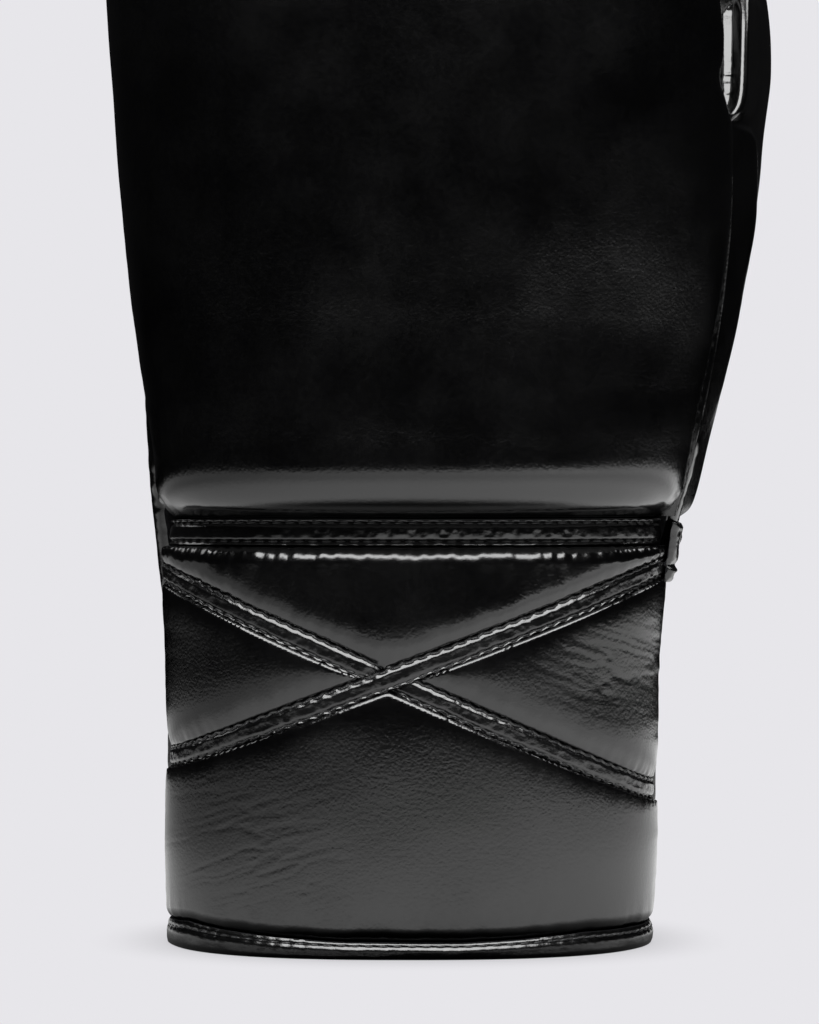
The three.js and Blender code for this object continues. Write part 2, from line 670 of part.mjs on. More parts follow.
function thumbHollowRing(share, turn) {
  const place = share * (THUMB_HOLLOW.length - 1);
  const radius = THUMB_THICKNESS / 2 - THUMB_WALL;
  const end = Math.sqrt(Math.max(0.04, 1 - Math.max(0, share * 4 - 3) ** 2));
  const out = new THREE.Vector3(Math.cos(turn), Math.sin(turn), 0);
  return thumbCentre(THUMB_HOLLOW, place).addScaledVector(out, radius * end);
}

// The mitt as one closed lump, a little larger than its skin, which the thumb is cut to sit against
function mittLump(share, turn) {
  const place = WRIST - 1 + (TIP - WRIST + 1) * share;
  return onSkin(place, turn, MITT_CROWN + SEAM_GAP);
}
const thumbHollow = solidOf(tube(thumbHollowRing, 14, 12));
const thumbOuter = solidOf(tube(thumbRing, THUMB_SEGMENTS, THUMB_RINGS));
const mittAsLump = solidOf(tube(mittLump, 36, 34));
const thumb = mainBody(thumbOuter.subtract(mittAsLump).subtract(thumbHollow));
const mittBack = mainBody(solidOf(mittBackPanel).subtract(thumbHollow));
const mittPalm = mainBody(solidOf(mittPalmPanel).subtract(thumbHollow));

// Piping in the side seams of the cuff, and the tab that covers the thumb side's top end
function pipingGeometry(seam) {
  const low = cuffPlace(BINDING_HEIGHT + BINDING_PROUD);
  const high = cuffPlace(CUFF_HEIGHT - BAND_HEIGHT - TAB_LENGTH / 2);
  const route = [];
  for (let i = 0; i <= 6; i++) {
    const place = low + ((high - low) * i) / 6;
    route.push(onSkin(place, seam(place), -PIPING_SUNK));
  }
  const section = new THREE.Shape().absarc(0, 0, PIPING_RADIUS, 0, 2 * Math.PI);
  return new THREE.ExtrudeGeometry(section, {
    steps: 10,
    curveSegments: 4,
    extrudePath: new THREE.CatmullRomCurve3(route),
  });
}

function tabFace(height) {
  const low = cuffPlace(CUFF_HEIGHT - BAND_HEIGHT - TAB_LENGTH / 2 + TAB_CLEARANCE);
  const high = cuffPlace(CUFF_HEIGHT);
  return (u, v) => {
    const place = low + (high - low) * v;
    const half = turnFor(TAB_WIDTH / 2, place, thumbSeam(place));
    return onSkin(place, thumbSeam(place) + half * (2 * u - 1), height);
  };
}
const sideTab = slab(tabFace(TAB_CLEARANCE + TAB_THICKNESS), tabFace(TAB_CLEARANCE), 4, 6);

// Materials
const leather = new THREE.MeshStandardMaterial({ color: 0x0b0b0d, roughness: 0.34, metalness: 0 });
const trimLeather = new THREE.MeshStandardMaterial({ color: 0x08080a, roughness: 0.28, metalness: 0 });
const eyeletMetal = new THREE.MeshStandardMaterial({ color: 0x1c1c20, roughness: 0.35, metalness: 0.9 });

// The glove, standing with the middle of its footprint's box at the origin
const glove = new THREE.Group();

function addPiece(name, shape, material) {
  const geometry = shape.isBufferGeometry ? shape : geometryOf(shape);
  geometry.computeVertexNormals();
  const mesh = new THREE.Mesh(geometry, material);
  mesh.name = name;
  glove.add(mesh);
  return mesh;
}

addPiece("mitt_back", mittBack, leather);
addPiece("mitt_palm", mittPalm, leather);
addPiece("thumb", thumb, leather);
addPiece("cuff_back", cuffBack, leather);
addPiece("cuff_flap_thumb_side", thumbFlap, leather);
addPiece("cuff_flap_pinky_side", pinkyFlap, leather);
addPiece("wrist_band", wristBand, trimLeather);
addPiece("crossed_straps", crossedStraps, trimLeather);
addPiece("cuff_binding", binding, trimLeather);
addPiece("piping_thumb_side", pipingGeometry(thumbSeam), trimLeather);
addPiece("piping_pinky_side", pipingGeometry(pinkySeam), trimLeather);
addPiece("side_tab", sideTab, trimLeather);
addPiece("tongue", tongue, leather);
for (const { side, i, centre, turned } of EYELET_PLACES) {
  const name = `eyelet_${side < 0 ? "thumb" : "pinky"}_side_${i + 1}`;
  const eyelet = addPiece(name, eyeletGeometry(), eyeletMetal);
  eyelet.position.copy(centre);
  eyelet.quaternion.copy(turned);
}

glove.updateMatrixWorld(true);
const middle = new THREE.Box3().setFromObject(glove).getCenter(new THREE.Vector3());
glove.position.set(-middle.x, -middle.y, 0);

export default glove;
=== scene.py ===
"""A left-hand laced boxing glove in black leather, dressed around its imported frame.

Lengths are in millimetres in the glove's own frame, whose origin is the middle of the cuff's foot,
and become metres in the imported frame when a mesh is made. The back of the hand faces -Y.
"""

import logging
import math
from dataclasses import dataclass, field
from enum import Enum
from typing import Callable, NamedTuple, Optional, Sequence

import bmesh
import bpy
import numpy as np
from mathutils import Matrix, Vector
from mathutils.bvhtree import BVHTree


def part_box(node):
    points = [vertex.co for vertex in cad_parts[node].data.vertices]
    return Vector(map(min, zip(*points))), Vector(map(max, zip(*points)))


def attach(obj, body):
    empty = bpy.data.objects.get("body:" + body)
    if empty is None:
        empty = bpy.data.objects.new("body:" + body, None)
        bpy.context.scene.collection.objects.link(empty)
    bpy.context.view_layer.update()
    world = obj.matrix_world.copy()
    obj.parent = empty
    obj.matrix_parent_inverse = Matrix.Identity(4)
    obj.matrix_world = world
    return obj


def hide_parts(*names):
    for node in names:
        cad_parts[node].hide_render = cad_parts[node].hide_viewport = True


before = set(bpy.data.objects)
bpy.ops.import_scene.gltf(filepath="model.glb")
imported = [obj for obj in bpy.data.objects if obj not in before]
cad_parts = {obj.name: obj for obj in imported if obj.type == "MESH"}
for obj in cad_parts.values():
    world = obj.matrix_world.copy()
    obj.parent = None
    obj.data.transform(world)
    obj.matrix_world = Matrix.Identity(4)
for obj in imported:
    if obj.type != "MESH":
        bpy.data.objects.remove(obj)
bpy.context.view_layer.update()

LOG = logging.getLogger("glove")
MM = 0.001
BODY = "root"
HALF_TURN = math.pi
Array = np.ndarray
TurnAt = Callable[[Array], Array]


class Slot(Enum):
    """Material slots of the record."""

    LEATHER = "leather"
    TRIM = "trim_leather"
    METAL = "eyelet_metal"


class Section(NamedTuple):
    """A section of the glove, as shares of the depth, height and width of the cuff or the mitt."""

    back_y: float
    back_z: float
    palm_y: float
    palm_z: float
    pinky: float
    thumb: float


class Padding(NamedTuple):
    """The back padding of a section as a share of the knuckle pad, and its two seams in degrees."""

    back: float
    thumb_seam: float
    pinky_seam: float


class Ring(NamedTuple):
    """A level section of the thumb, as shares of its reach, the mitt's size and its thickness."""

    z: float
    x: float
    y: float
    across: float
    along: float


CUFF_SECTIONS = (
    Section(-0.5, 0.0, 0.5, 0.0, 0.494, 0.494),
    Section(-0.505, 0.25, 0.495, 0.25, 0.499, 0.505),
    Section(-0.505, 0.5, 0.485, 0.5, 0.497, 0.509),
    Section(-0.5, 0.75, 0.47, 0.75, 0.504, 0.516),
    Section(-0.5, 1.0, 0.45, 1.0, 0.526, 0.553),
)
MITT_SECTIONS = (
    Section(-0.388, 0.07, 0.271, 0.098, 0.409, 0.451),
    Section(-0.397, 0.222, 0.265, 0.196, 0.421, 0.486),
    Section(-0.411, 0.362, 0.26, 0.294, 0.437, 0.506),
    Section(-0.424, 0.5, 0.26, 0.382, 0.45, 0.509),
    Section(-0.419, 0.632, 0.263, 0.456, 0.462, 0.503),
    Section(-0.371, 0.76, 0.274, 0.51, 0.47, 0.494),
    Section(-0.272, 0.873, 0.297, 0.542, 0.473, 0.487),
    Section(-0.118, 0.958, 0.33, 0.558, 0.469, 0.474),
    Section(0.066, 0.998, 0.365, 0.562, 0.458, 0.456),
    Section(0.243, 0.982, 0.4, 0.556, 0.443, 0.434),
    Section(0.397, 0.922, 0.429, 0.544, 0.423, 0.408),
    Section(0.507, 0.829, 0.456, 0.529, 0.399, 0.381),
    Section(0.566, 0.721, 0.478, 0.519, 0.366, 0.347),
    Section(0.568, 0.618, 0.496, 0.513, 0.322, 0.305),
    Section(0.539, 0.541, 0.508, 0.511, 0.248, 0.236),
    Section(0.521, 0.514, 0.515, 0.5075, 0.17, 0.16),
)
CUFF_PADDING = (
    Padding(0.26, 90, 90),
    Padding(0.26, 90, 90),
    Padding(0.26, 89, 89),
    Padding(0.26, 86, 86),
    Padding(0.26, 80, 80),
)
MITT_PADDING = (
    Padding(0.35, 80, 84),
    Padding(0.45, 80, 93),
    Padding(0.56, 78, 99),
    Padding(0.7, 75, 102),
    Padding(0.85, 70, 103),
    Padding(0.96, 70, 104),
    Padding(1.0, 76, 104),
    Padding(1.0, 84, 103),
    Padding(0.98, 90, 102),
    Padding(0.92, 94, 100),
    Padding(0.86, 96, 99),
    Padding(0.8, 96, 98),
    Padding(0.74, 95, 96),
    Padding(0.62, 93, 94),
    Padding(0.5, 91, 92),
    Padding(0.4, 90, 90),
)
THUMB_RINGS = (
    Ring(0.004, 0.31, 0.07, 0.385, 0.38),
    Ring(0.03, 0.318, 0.072, 0.435, 0.435),
    Ring(0.13, 0.343, 0.095, 0.45, 0.465),
    Ring(0.26, 0.371, 0.125, 0.478, 0.5),
    Ring(0.385, 0.397, 0.155, 0.487, 0.52),
    Ring(0.5, 0.412, 0.185, 0.5, 0.53),
    Ring(0.62, 0.421, 0.22, 0.503, 0.53),
    Ring(0.73, 0.425, 0.255, 0.5, 0.515),
    Ring(0.83, 0.42, 0.285, 0.465, 0.475),
    Ring(0.91, 0.41, 0.305, 0.38, 0.39),
    Ring(0.965, 0.4, 0.315, 0.26, 0.27),
    Ring(0.995, 0.393, 0.32, 0.1, 0.1),
)
WRIST = len(CUFF_SECTIONS) - 1
TIP = WRIST + len(MITT_SECTIONS)
FLAP_TOP = WRIST + 1.6


def smooth_rows(values: Array, place: Array) -> Array:
    """Reads a column of a table on a smooth curve through its rows.

    Args:
        values: The column, one number a row.
        place: Places between the rows, where 0 is the first row.

    Returns:
        The column's value at each place.
    """
    last = len(values) - 1
    padded = np.concatenate(([2 * values[0] - values[1]], values, [2 * values[-1] - values[-2]]))
    i = np.clip(np.floor(place).astype(int), 0, last - 1)
    t = place - i
    a, b, c, d = (padded[i + k] for k in range(4))
    bend = (2 * a - 5 * b + 4 * c - d) * t * t + (3 * b - a - 3 * c + d) * t * t * t
    return 0.5 * (2 * b + (c - a) * t + bend)


def smooth_step(value: Array, low: float, high: float) -> Array:
    """Rises smoothly from 0 at low to 1 at high.

    Args:
        value: The numbers to read.
        low: Where the rise starts.
        high: Where it ends.

    Returns:
        Shares from 0 to 1.
    """
    t = np.clip((value - low) / (high - low), 0.0, 1.0)
    return t * t * (3 - 2 * t)


def arc_lengths(points: Array) -> Array:
    """Adds up the distances along each line of points.

    Args:
        points: Lines of points, with the points of a line on the last axis but one.

    Returns:
        The distance of each point from the start of its line.
    """
    steps = np.linalg.norm(np.diff(points, axis=-2), axis=-1)
    start = np.zeros(steps.shape[:-1] + (1,))
    return np.concatenate((start, np.cumsum(steps, axis=-1)), axis=-1)


class Noise:
    """Smooth seeded noise in space, from -1 to 1."""

    CELLS = 32

    def __init__(self, seed: int) -> None:
        """Fills the lattice of random values.

        Args:
            seed: The seed of the random draw.
        """
        draw = np.random.default_rng(seed)
        self.lattice = draw.uniform(-1.0, 1.0, (self.CELLS,) * 3)

    def at(self, *place: Array, octaves: int = 1) -> Array:
        """Reads the noise.

        Args:
            place: One to three coordinates, in cells of the lattice.
            octaves: How many layers of halved size are added.

        Returns:
            The noise at each place.
        """
        axes = np.broadcast_arrays(*place)
        axes = [np.asarray(a, float) for a in axes] + [np.zeros(axes[0].shape)] * (3 - len(axes))
        total = np.zeros(axes[0].shape)
        weight, weights = 1.0, 0.0
        for octave in range(octaves):
            total += weight * self._layer([a * 2**octave + 7.3 * octave for a in axes])
            weights += weight
            weight *= 0.5
        return total / weights

    def _layer(self, axes: Sequence[Array]) -> Array:
        """Blends the eight lattice values round each place.

        Args:
            axes: The three coordinates.

        Returns:
            The blended values.
        """
        cells = [np.floor(a).astype(int) for a in axes]
        shares = [a - c for a, c in zip(axes, cells)]
        shares = [t * t * t * (t * (6 * t - 15) + 10) for t in shares]
        total = np.zeros(axes[0].shape)
        for corner in np.ndindex(2, 2, 2):
            index = tuple((c + k) % self.CELLS for c, k in zip(cells, corner))
            weight = np.ones(axes[0].shape)
            for t, k in zip(shares, corner):
                weight = weight * (t if k else 1 - t)
            total += weight * self.lattice[index]
        return total


@dataclass
class GloveForm:
    """The glove's skin and lining as formulas of a place, from cuff to fingertips, and a turn."""

    cuff_width: float = 113.0
    cuff_depth: float = 84.0
    cuff_height: float = 98.0
    mitt_width: float = 148.0
    mitt_depth: float = 136.0
    mitt_height: float = 204.0
    thumb_thickness: float = 47.0
    thumb_reach: float = 164.0
    cuff_palm_wall: float = 6.5
    cuff_side_wall: float = 7.5
    knuckle_pad: float = 46.0
    palm_wall: float = 9.0
    mitt_side_wall: float = 13.0
    seam_gap: float = 0.4
    roundness: float = 2.45
    hollow_tip: float = TIP - 3.6
    hollow_bend: float = WRIST + 5.0
    columns: dict[str, Array] = field(default_factory=dict)
    origin: Array = field(default_factory=lambda: np.zeros(3))

    def __post_init__(self) -> None:
        """Turns the tables' shares into millimetres and radians."""
        cuff = (self.cuff_depth, self.cuff_height, self.cuff_width, 0.0)
        mitt = (self.mitt_depth, self.mitt_height, self.mitt_width, self.cuff_height)
        rows = [(s, *cuff) for s in CUFF_SECTIONS] + [(s, *mitt) for s in MITT_SECTIONS]
        pads = CUFF_PADDING + MITT_PADDING
        in_cuff = np.arange(len(rows)) <= WRIST
        self.columns = {
            "back_y": np.array([s.back_y * depth for s, depth, *_ in rows]),
            "palm_y": np.array([s.palm_y * depth for s, depth, *_ in rows]),
            "back_z": np.array([base + s.back_z * height for s, _, height, _, base in rows]),
            "palm_z": np.array([base + s.palm_z * height for s, _, height, _, base in rows]),
            "pinky": np.array([s.pinky * width for s, _, _, width, _ in rows]),
            "thumb": np.array([s.thumb * width for s, _, _, width, _ in rows]),
            "back_pad": np.array([p.back * self.knuckle_pad for p in pads]),
            "palm_pad": np.where(in_cuff, self.cuff_palm_wall, self.palm_wall),
            "side_pad": np.where(in_cuff, self.cuff_side_wall, self.mitt_side_wall),
            "thumb_seam": np.radians([p.thumb_seam for p in pads]),
            "pinky_seam": np.radians([p.pinky_seam for p in pads]),
        }
        low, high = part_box("cuff_binding")
        self.origin = np.array(((low.x + high.x) / 2, (low.y + high.y) / 2, 0.0))

    def read(self, column: str, place: Array) -> Array:
        """Reads one column of the glove's sections at the given places."""
        return smooth_rows(self.columns[column], place)

    def to_frame(self, points: Array) -> Array:
        """Turns the glove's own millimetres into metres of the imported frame."""
        return points * MM + self.origin

    def back_at(self, place: Array) -> Array:
        """Gives the middle of the back at the given places."""
        return self._column_point("back_y", "back_z", place)

    def palm_at(self, place: Array) -> Array:
        """Gives the middle of the palm side at the given places."""
        return self._column_point("palm_y", "palm_z", place)

    def _column_point(self, y: str, z: str, place: Array) -> Array:
        """Joins two columns into points with x at 0."""
        place = np.asarray(place, float)
        return np.stack((np.zeros(place.shape), self.read(y, place), self.read(z, place)), axis=-1)

    def section_point(self, back: Array, palm: Array, pinky: Array, thumb: Array, turn: Array) -> Array:
        """Gives a point of a section.

        Args:
            back: The section's point at the middle of the back.
            palm: Its point at the middle of the palm side.
            pinky: Its half width on the pinky side.
            thumb: Its half width on the thumb side.
            turn: 0 at the back, growing towards the thumb, half a turn at the palm.

        Returns:
            Points of the section.
        """
        power = 2 / self.roundness
        side, ahead = np.sin(turn), np.cos(turn)
        x = np.sign(side) * np.abs(side) ** power * np.where(side > 0, thumb, pinky)
        share = 0.5 - 0.5 * np.sign(ahead) * np.abs(ahead) ** power
        point = back + (palm - back) * share[..., None]
        point[..., 0] = x
        return point

    def skin(self, place: Array, turn: Array) -> Array:
        """Gives the outer skin at places and turns, before any seam rolls under."""
        place, turn = np.broadcast_arrays(np.asarray(place, float), np.asarray(turn, float))
        pinky, thumb = self.read("pinky", place), self.read("thumb", place)
        return self.section_point(self.back_at(place), self.palm_at(place), pinky, thumb, turn)

    def outwards(self, place: Array, turn: Array) -> Array:
        """Gives the direction out of the skin at places and turns."""
        step = 0.02
        up = self.skin(np.minimum(place + step, TIP), turn) - self.skin(np.maximum(place - step, 0), turn)
        round_ = self.skin(place, turn + step) - self.skin(place, turn - step)
        out = np.cross(round_, up)
        return out / np.maximum(np.linalg.norm(out, axis=-1, keepdims=True), 1e-9)

    def on_skin(self, place: Array, turn: Array, height: Array) -> Array:
        """Gives points a height above the skin."""
        height = np.asarray(height, float)
        return self.skin(place, turn) + self.outwards(place, turn) * height[..., None]

    def lining(self, outer_place: Array, turn: Array, inset: float = 0.0) -> Array:
        """Gives the outside of the hand's hollow under a place of the skin.

        Args:
            outer_place: Places on the skin.
            turn: Turns.
            inset: How much further in, in millimetres.

        Returns:
            Points of the lining.
        """
        outer_place, turn = np.broadcast_arrays(np.asarray(outer_place, float), np.asarray(turn, float))
        shorter = (self.hollow_tip - self.hollow_bend) / (TIP - self.hollow_bend)
        bent = self.hollow_bend + (outer_place - self.hollow_bend) * shorter
        place = np.where(outer_place <= self.hollow_bend, outer_place, bent)
        back, palm = self.back_at(place), self.palm_at(place)
        depth = np.linalg.norm(palm - back, axis=-1)
        back_pad = self.read("back_pad", place) + inset
        palm_pad = self.read("palm_pad", place) + inset
        side_pad = self.read("side_pad", place) + inset
        fit = np.minimum(1.0, (depth - 2 * self.seam_gap) / (back_pad + palm_pad))
        inner_back = back + (palm - back) * (fit * back_pad / depth)[..., None]
        inner_palm = palm + (back - palm) * (fit * palm_pad / depth)[..., None]
        pinky, thumb = self.read("pinky", place) - side_pad, self.read("thumb", place) - side_pad
        return self.section_point(inner_back, inner_palm, pinky, thumb, turn)

    def turn_for(self, length: float, place: Array, turn: Array) -> Array:
        """Gives the turn that a short length covers on the skin."""
        step = 0.01
        ends = self.skin(place, turn + step) - self.skin(place, turn - step)
        return length * 2 * step / np.linalg.norm(ends, axis=-1)

    def place_for(self, length: float, place: float, turn: float = 0.0) -> float:
        """Gives the share of a place that a short length covers on the skin."""
        step = 0.01
        ends = self.skin(place + step, turn) - self.skin(place - step, turn)
        return float(length * 2 * step / np.linalg.norm(ends))

    def cuff_place(self, height: Array) -> Array:
        """Gives the cuff's place at a height above the floor."""
        return np.asarray(height, float) / self.cuff_height * WRIST

    def thumb_seam(self, place: Array) -> Array:
        """Gives the turn of the seam on the thumb side of the back."""
        return self.read("thumb_seam", place)

    def pinky_seam(self, place: Array) -> Array:
        """Gives the turn of the seam on the pinky side of the back."""
        return -self.read("pinky_seam", place)

    def back_turn(self, place: Array, x: Array) -> Array:
        """Gives the turn at which the back has a given x."""
        half = np.where(np.asarray(x) > 0, self.read("thumb", place), self.read("pinky", place))
        share = np.clip(np.abs(x) / half, 0, 1) ** (self.roundness / 2)
        return np.sign(x) * np.arcsin(np.minimum(share, 1))

    def palm_place(self, height: float) -> float:
        """Gives the place at which the middle of the palm side has a given height."""
        places = np.linspace(0, WRIST + 8, 400)
        return float(np.interp(height, self.palm_at(places)[:, 2], places))


@dataclass(frozen=True)
class Patch:
    """A panel's part of the skin, between two places and two turns."""

    low: float
    high: float
    left: TurnAt
    right: TurnAt
    low_wave: Optional[Callable[[Array], Array]] = None


@dataclass
class Chart:
    """An even grid of points on a patch, with each point's distances to the patch's edges."""

    place: Array
    turn: Array
    point: Array
    out: Array
    from_left: Array
    from_right: Array
    from_low: Array
    from_high: Array

    def lifted(self, height: Array) -> Array:
        """Gives the grid's points a height above the skin."""
        return self.point + self.out * height[..., None]

    def across(self) -> Array:
        """Gives each point's distance from the patch's middle column along its row."""
        return self.from_left - 0.5 * (self.from_left + self.from_right)


def focused(count: int, focus: float) -> Array:
    """Gives shares from 0 to 1 that are closer together at both ends.

    Args:
        count: How many steps.
        focus: 0 for even steps, towards 1 for much closer ends.

    Returns:
        The shares.
    """
    u = np.linspace(0.0, 1.0, count + 1)
    return u - focus / (2 * math.pi) * np.sin(2 * math.pi * u)


def chart_of(form: GloveForm, patch: Patch, columns: int, rows: int, focus: float = 0.45) -> Chart:
    """Lays an even grid on a patch of the skin.

    Args:
        form: The glove's form.
        patch: The patch.
        columns: How many columns of faces.
        rows: How many rows of faces.
        focus: How much closer the lines are at the edges.

    Returns:
        The chart of the grid.
    """
    gap = form.seam_gap / 2
    low = patch.low + form.place_for(gap, patch.low)
    high = patch.high - form.place_for(gap, patch.high - 0.05) if patch.high < TIP else patch.high
    fine = np.linspace(low, high, 900)
    middle = 0.5 * (patch.left(fine) + patch.right(fine))
    lengths = arc_lengths(form.skin(fine, middle))
    places = np.interp(focused(rows, focus) * lengths[-1], lengths, fine)
    place = np.repeat(places[:, None], columns + 1, axis=1)
    near = np.minimum(places, TIP - 0.8)
    left = patch.left(places) + form.turn_for(gap, near, patch.left(near))
    right = patch.right(places) - form.turn_for(gap, near, patch.right(near))
    many = np.linspace(0.0, 1.0, 500)
    turns = left[:, None] + (right - left)[:, None] * many
    reach = arc_lengths(form.skin(places[:, None], turns))
    shares = focused(columns, focus)
    turn = np.stack([np.interp(shares * r[-1], r, t) for r, t in zip(reach, turns)])
    if patch.low_wave is not None:
        wave = patch.low_wave(turn)
        place = place + wave * np.exp(-(place - low) / 0.5)
    point = form.skin(place, turn)
    out = form.outwards(place, turn)
    across = arc_lengths(point)
    up = arc_lengths(point.transpose(1, 0, 2)).T
    return Chart(
        place=place,
        turn=turn,
        point=point,
        out=out,
        from_left=across,
        from_right=across[:, -1:] - across,
        from_low=up,
        from_high=up[-1:] - up,
    )


@dataclass
class SeamLine:
    """A line on the glove, such as a row of stitches, with the direction out of the leather."""

    point: Array
    out: Array

    def length(self) -> float:
        """Gives the line's length."""
        return float(arc_lengths(self.point)[-1])

    def at(self, distance: Array) -> tuple[Array, Array, Array]:
        """Reads the line.

        Args:
            distance: Distances from its start.

        Returns:
            Points, directions along the line and directions out of the leather.
        """
        reach = arc_lengths(self.point)
        read = lambda values, d: np.stack([np.interp(d, reach, values[:, k]) for k in range(3)], axis=-1)
        ahead = read(self.point, np.minimum(distance + 0.4, reach[-1]))
        behind = read(self.point, np.maximum(distance - 0.4, 0.0))
        along = ahead - behind
        along /= np.maximum(np.linalg.norm(along, axis=-1, keepdims=True), 1e-9)
        out = read(self.out, distance)
        out /= np.linalg.norm(out, axis=-1, keepdims=True)
        return read(self.point, distance), along, out

    def measure(self, points: Array) -> tuple[Array, Array]:
        """Measures points against the line.

        Args:
            points: The points to measure.

        Returns:
            Each point's place along the line, and its signed distance from it to the line's left.
        """
        reach = arc_lengths(self.point)
        flat = points.reshape(-1, 3)
        nearest = np.empty(len(flat), int)
        for start in range(0, len(flat), 20000):
            part = flat[start : start + 20000].astype(np.float32)
            gaps = part[:, None, :] - self.point[None].astype(np.float32)
            nearest[start : start + 20000] = np.einsum("ijk,ijk->ij", gaps, gaps).argmin(axis=1)
        centre, along, out = self.at(reach[nearest])
        offset = flat - centre
        side = np.cross(out, along)
        place = reach[nearest] + np.einsum("ij,ij->i", offset, along)
        away = np.einsum("ij,ij->i", offset, side)
        return place.reshape(points.shape[:-1]), away.reshape(points.shape[:-1])


def rise(distance: Array, reach: float, power: float = 0.62) -> Array:
    """Gives the round shoulder beside a seam, from 0 on the seam to 1 at its reach."""
    left = 1 - np.clip(distance / reach, 0.0, 1.0)
    return (1 - left * left) ** power


def deepest(*dips: Array) -> Array:
    """Joins dips smoothly, each of them in millimetres, so that the deepest wins."""
    return sum(np.maximum(d, 0.0) ** 4 for d in dips) ** 0.25


@dataclass
class Gathers:
    """The small folds in which leather gathers beside a row of stitches."""

    noise: Noise
    pitch: float = 3.2

    def at(self, along: Array, away: Array, height: float, reach: float, size: float = 3.0) -> Array:
        """Gives the folds' height.

        Args:
            along: Distance along the seam.
            away: Distance from the seam.
            height: The height of the largest fold.
            reach: How far the folds run out from the seam.
            size: The spacing of the folds along the seam.

        Returns:
            Heights, above and below 0.
        """
        folds = self.noise.at(along / size, away / (4 * size), octaves=2)
        sharp = np.sign(folds) * np.abs(folds) ** 0.8
        return height * sharp * np.exp(-np.maximum(away, 0) / reach)

    def pinch(self, along: Array, away: Array, depth: float, reach: float = 1.5) -> Array:
        """Gives the dips where each stitch pulls the leather down.

        Args:
            along: Distance along the seam.
            away: Distance from the seam.
            depth: Depth of a dip.
            reach: How far a dip runs out from the seam.

        Returns:
            Depths, 0 or more.
        """
        pull = 0.5 + 0.5 * np.cos(2 * math.pi * along / self.pitch)
        uneven = 0.75 + 0.5 * self.noise.at(along / (1.7 * self.pitch) + 11.0)
        return depth * pull * uneven * np.exp(-np.abs(away) / reach)


def scene_object(name: str, mesh: bmesh.types.BMesh) -> bpy.types.Object:
    """Makes an object at the origin from a bmesh, which it frees.

    Args:
        name: The piece's name.
        mesh: The bmesh.

    Returns:
        The object.
    """
    data = bpy.data.meshes.new(name)
    mesh.to_mesh(data)
    mesh.free()
    made = bpy.data.objects.new(name, data)
    bpy.context.scene.collection.objects.link(made)
    return made


def shade(piece: bpy.types.Object, sharp_degrees: float = 55.0) -> None:
    """Shades a piece smooth, with sharp edges past an angle."""
    piece.data.polygons.foreach_set("use_smooth", np.ones(len(piece.data.polygons), bool))
    piece.data.set_sharp_from_angle(angle=math.radians(sharp_degrees))


def set_points(piece: bpy.types.Object, points: Array) -> None:
    """Moves a piece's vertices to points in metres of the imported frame."""
    piece.data.vertices.foreach_set("co", np.ascontiguousarray(points, np.float32).ravel())
    piece.data.update()


def get_points(piece: bpy.types.Object) -> Array:
    """Gives the places of a piece's vertices."""
    points = np.empty(len(piece.data.vertices) * 3, np.float32)
    piece.data.vertices.foreach_get("co", points)
    return points.reshape(-1, 3).astype(float)


def closed_panel(name: str, outer: Array, inner: Array) -> bpy.types.Object:
    """Closes the room between an outer and an inner grid of points into one solid panel.

    The outer grid's counts are whole multiples of the inner grid's. Faces of the inner grid use
    the second material.

    Args:
        name: The piece's name.
        outer: Rows and columns of points in metres, seen from outside with the first row low.
        inner: The same for the inner face.

    Returns:
        The panel.
    """
    mesh = bmesh.new()
    for grid, level in ((outer, 1.0), (inner, 0.0)):
        rows, columns = grid.shape[0] - 1, grid.shape[1] - 1
        matrix = Matrix.Translation((0.5, 0.5, level))
        bmesh.ops.create_grid(mesh, x_segments=columns, y_segments=rows, size=0.5, matrix=matrix)
    lower = [f for f in mesh.faces if f.verts[0].co.z < 0.5]
    bmesh.ops.reverse_faces(mesh, faces=lower)
    for face in lower:
        face.material_index = 1
    rim = [e for e in mesh.edges if e.is_boundary]
    bridged = bmesh.ops.bridge_loops(mesh, edges=rim)["faces"]
    for face in bridged:
        face.material_index = 1
    piece = scene_object(name, mesh)
    flat = get_points(piece)
    points = np.empty(flat.shape)
    for grid, on_level in ((outer, flat[:, 2] > 0.5), (inner, flat[:, 2] < 0.5)):
        row = np.rint(flat[on_level, 1] * (grid.shape[0] - 1)).astype(int)
        column = np.rint(flat[on_level, 0] * (grid.shape[1] - 1)).astype(int)
        points[on_level] = grid[row, column]
    set_points(piece, points)
    shade(piece)
    return piece


def closed_tube(name: str, rings: Array) -> bpy.types.Object:
    """Closes a stack of rings into one solid, with a pole at either end.

    Args:
        name: The piece's name.
        rings: Rings of points in metres; the first and last ring are one point each.

    Returns:
        The tube.
    """
    count, around = rings.shape[0] - 1, rings.shape[1]
    mesh = bmesh.new()
    matrix = Matrix.Translation((0.5, 0.5, 0.0))
    bmesh.ops.create_grid(mesh, x_segments=around, y_segments=count, size=0.5, matrix=matrix)
    for vertex in mesh.verts:
        row = round(vertex.co.y * count)
        column = round(vertex.co.x * around) % around
        vertex.co = rings[row, column]
    bmesh.ops.remove_doubles(mesh, verts=mesh.verts[:], dist=1e-7)
    bmesh.ops.recalc_face_normals(mesh, faces=mesh.faces[:])
    piece = scene_object(name, mesh)
    shade(piece)
    return piece


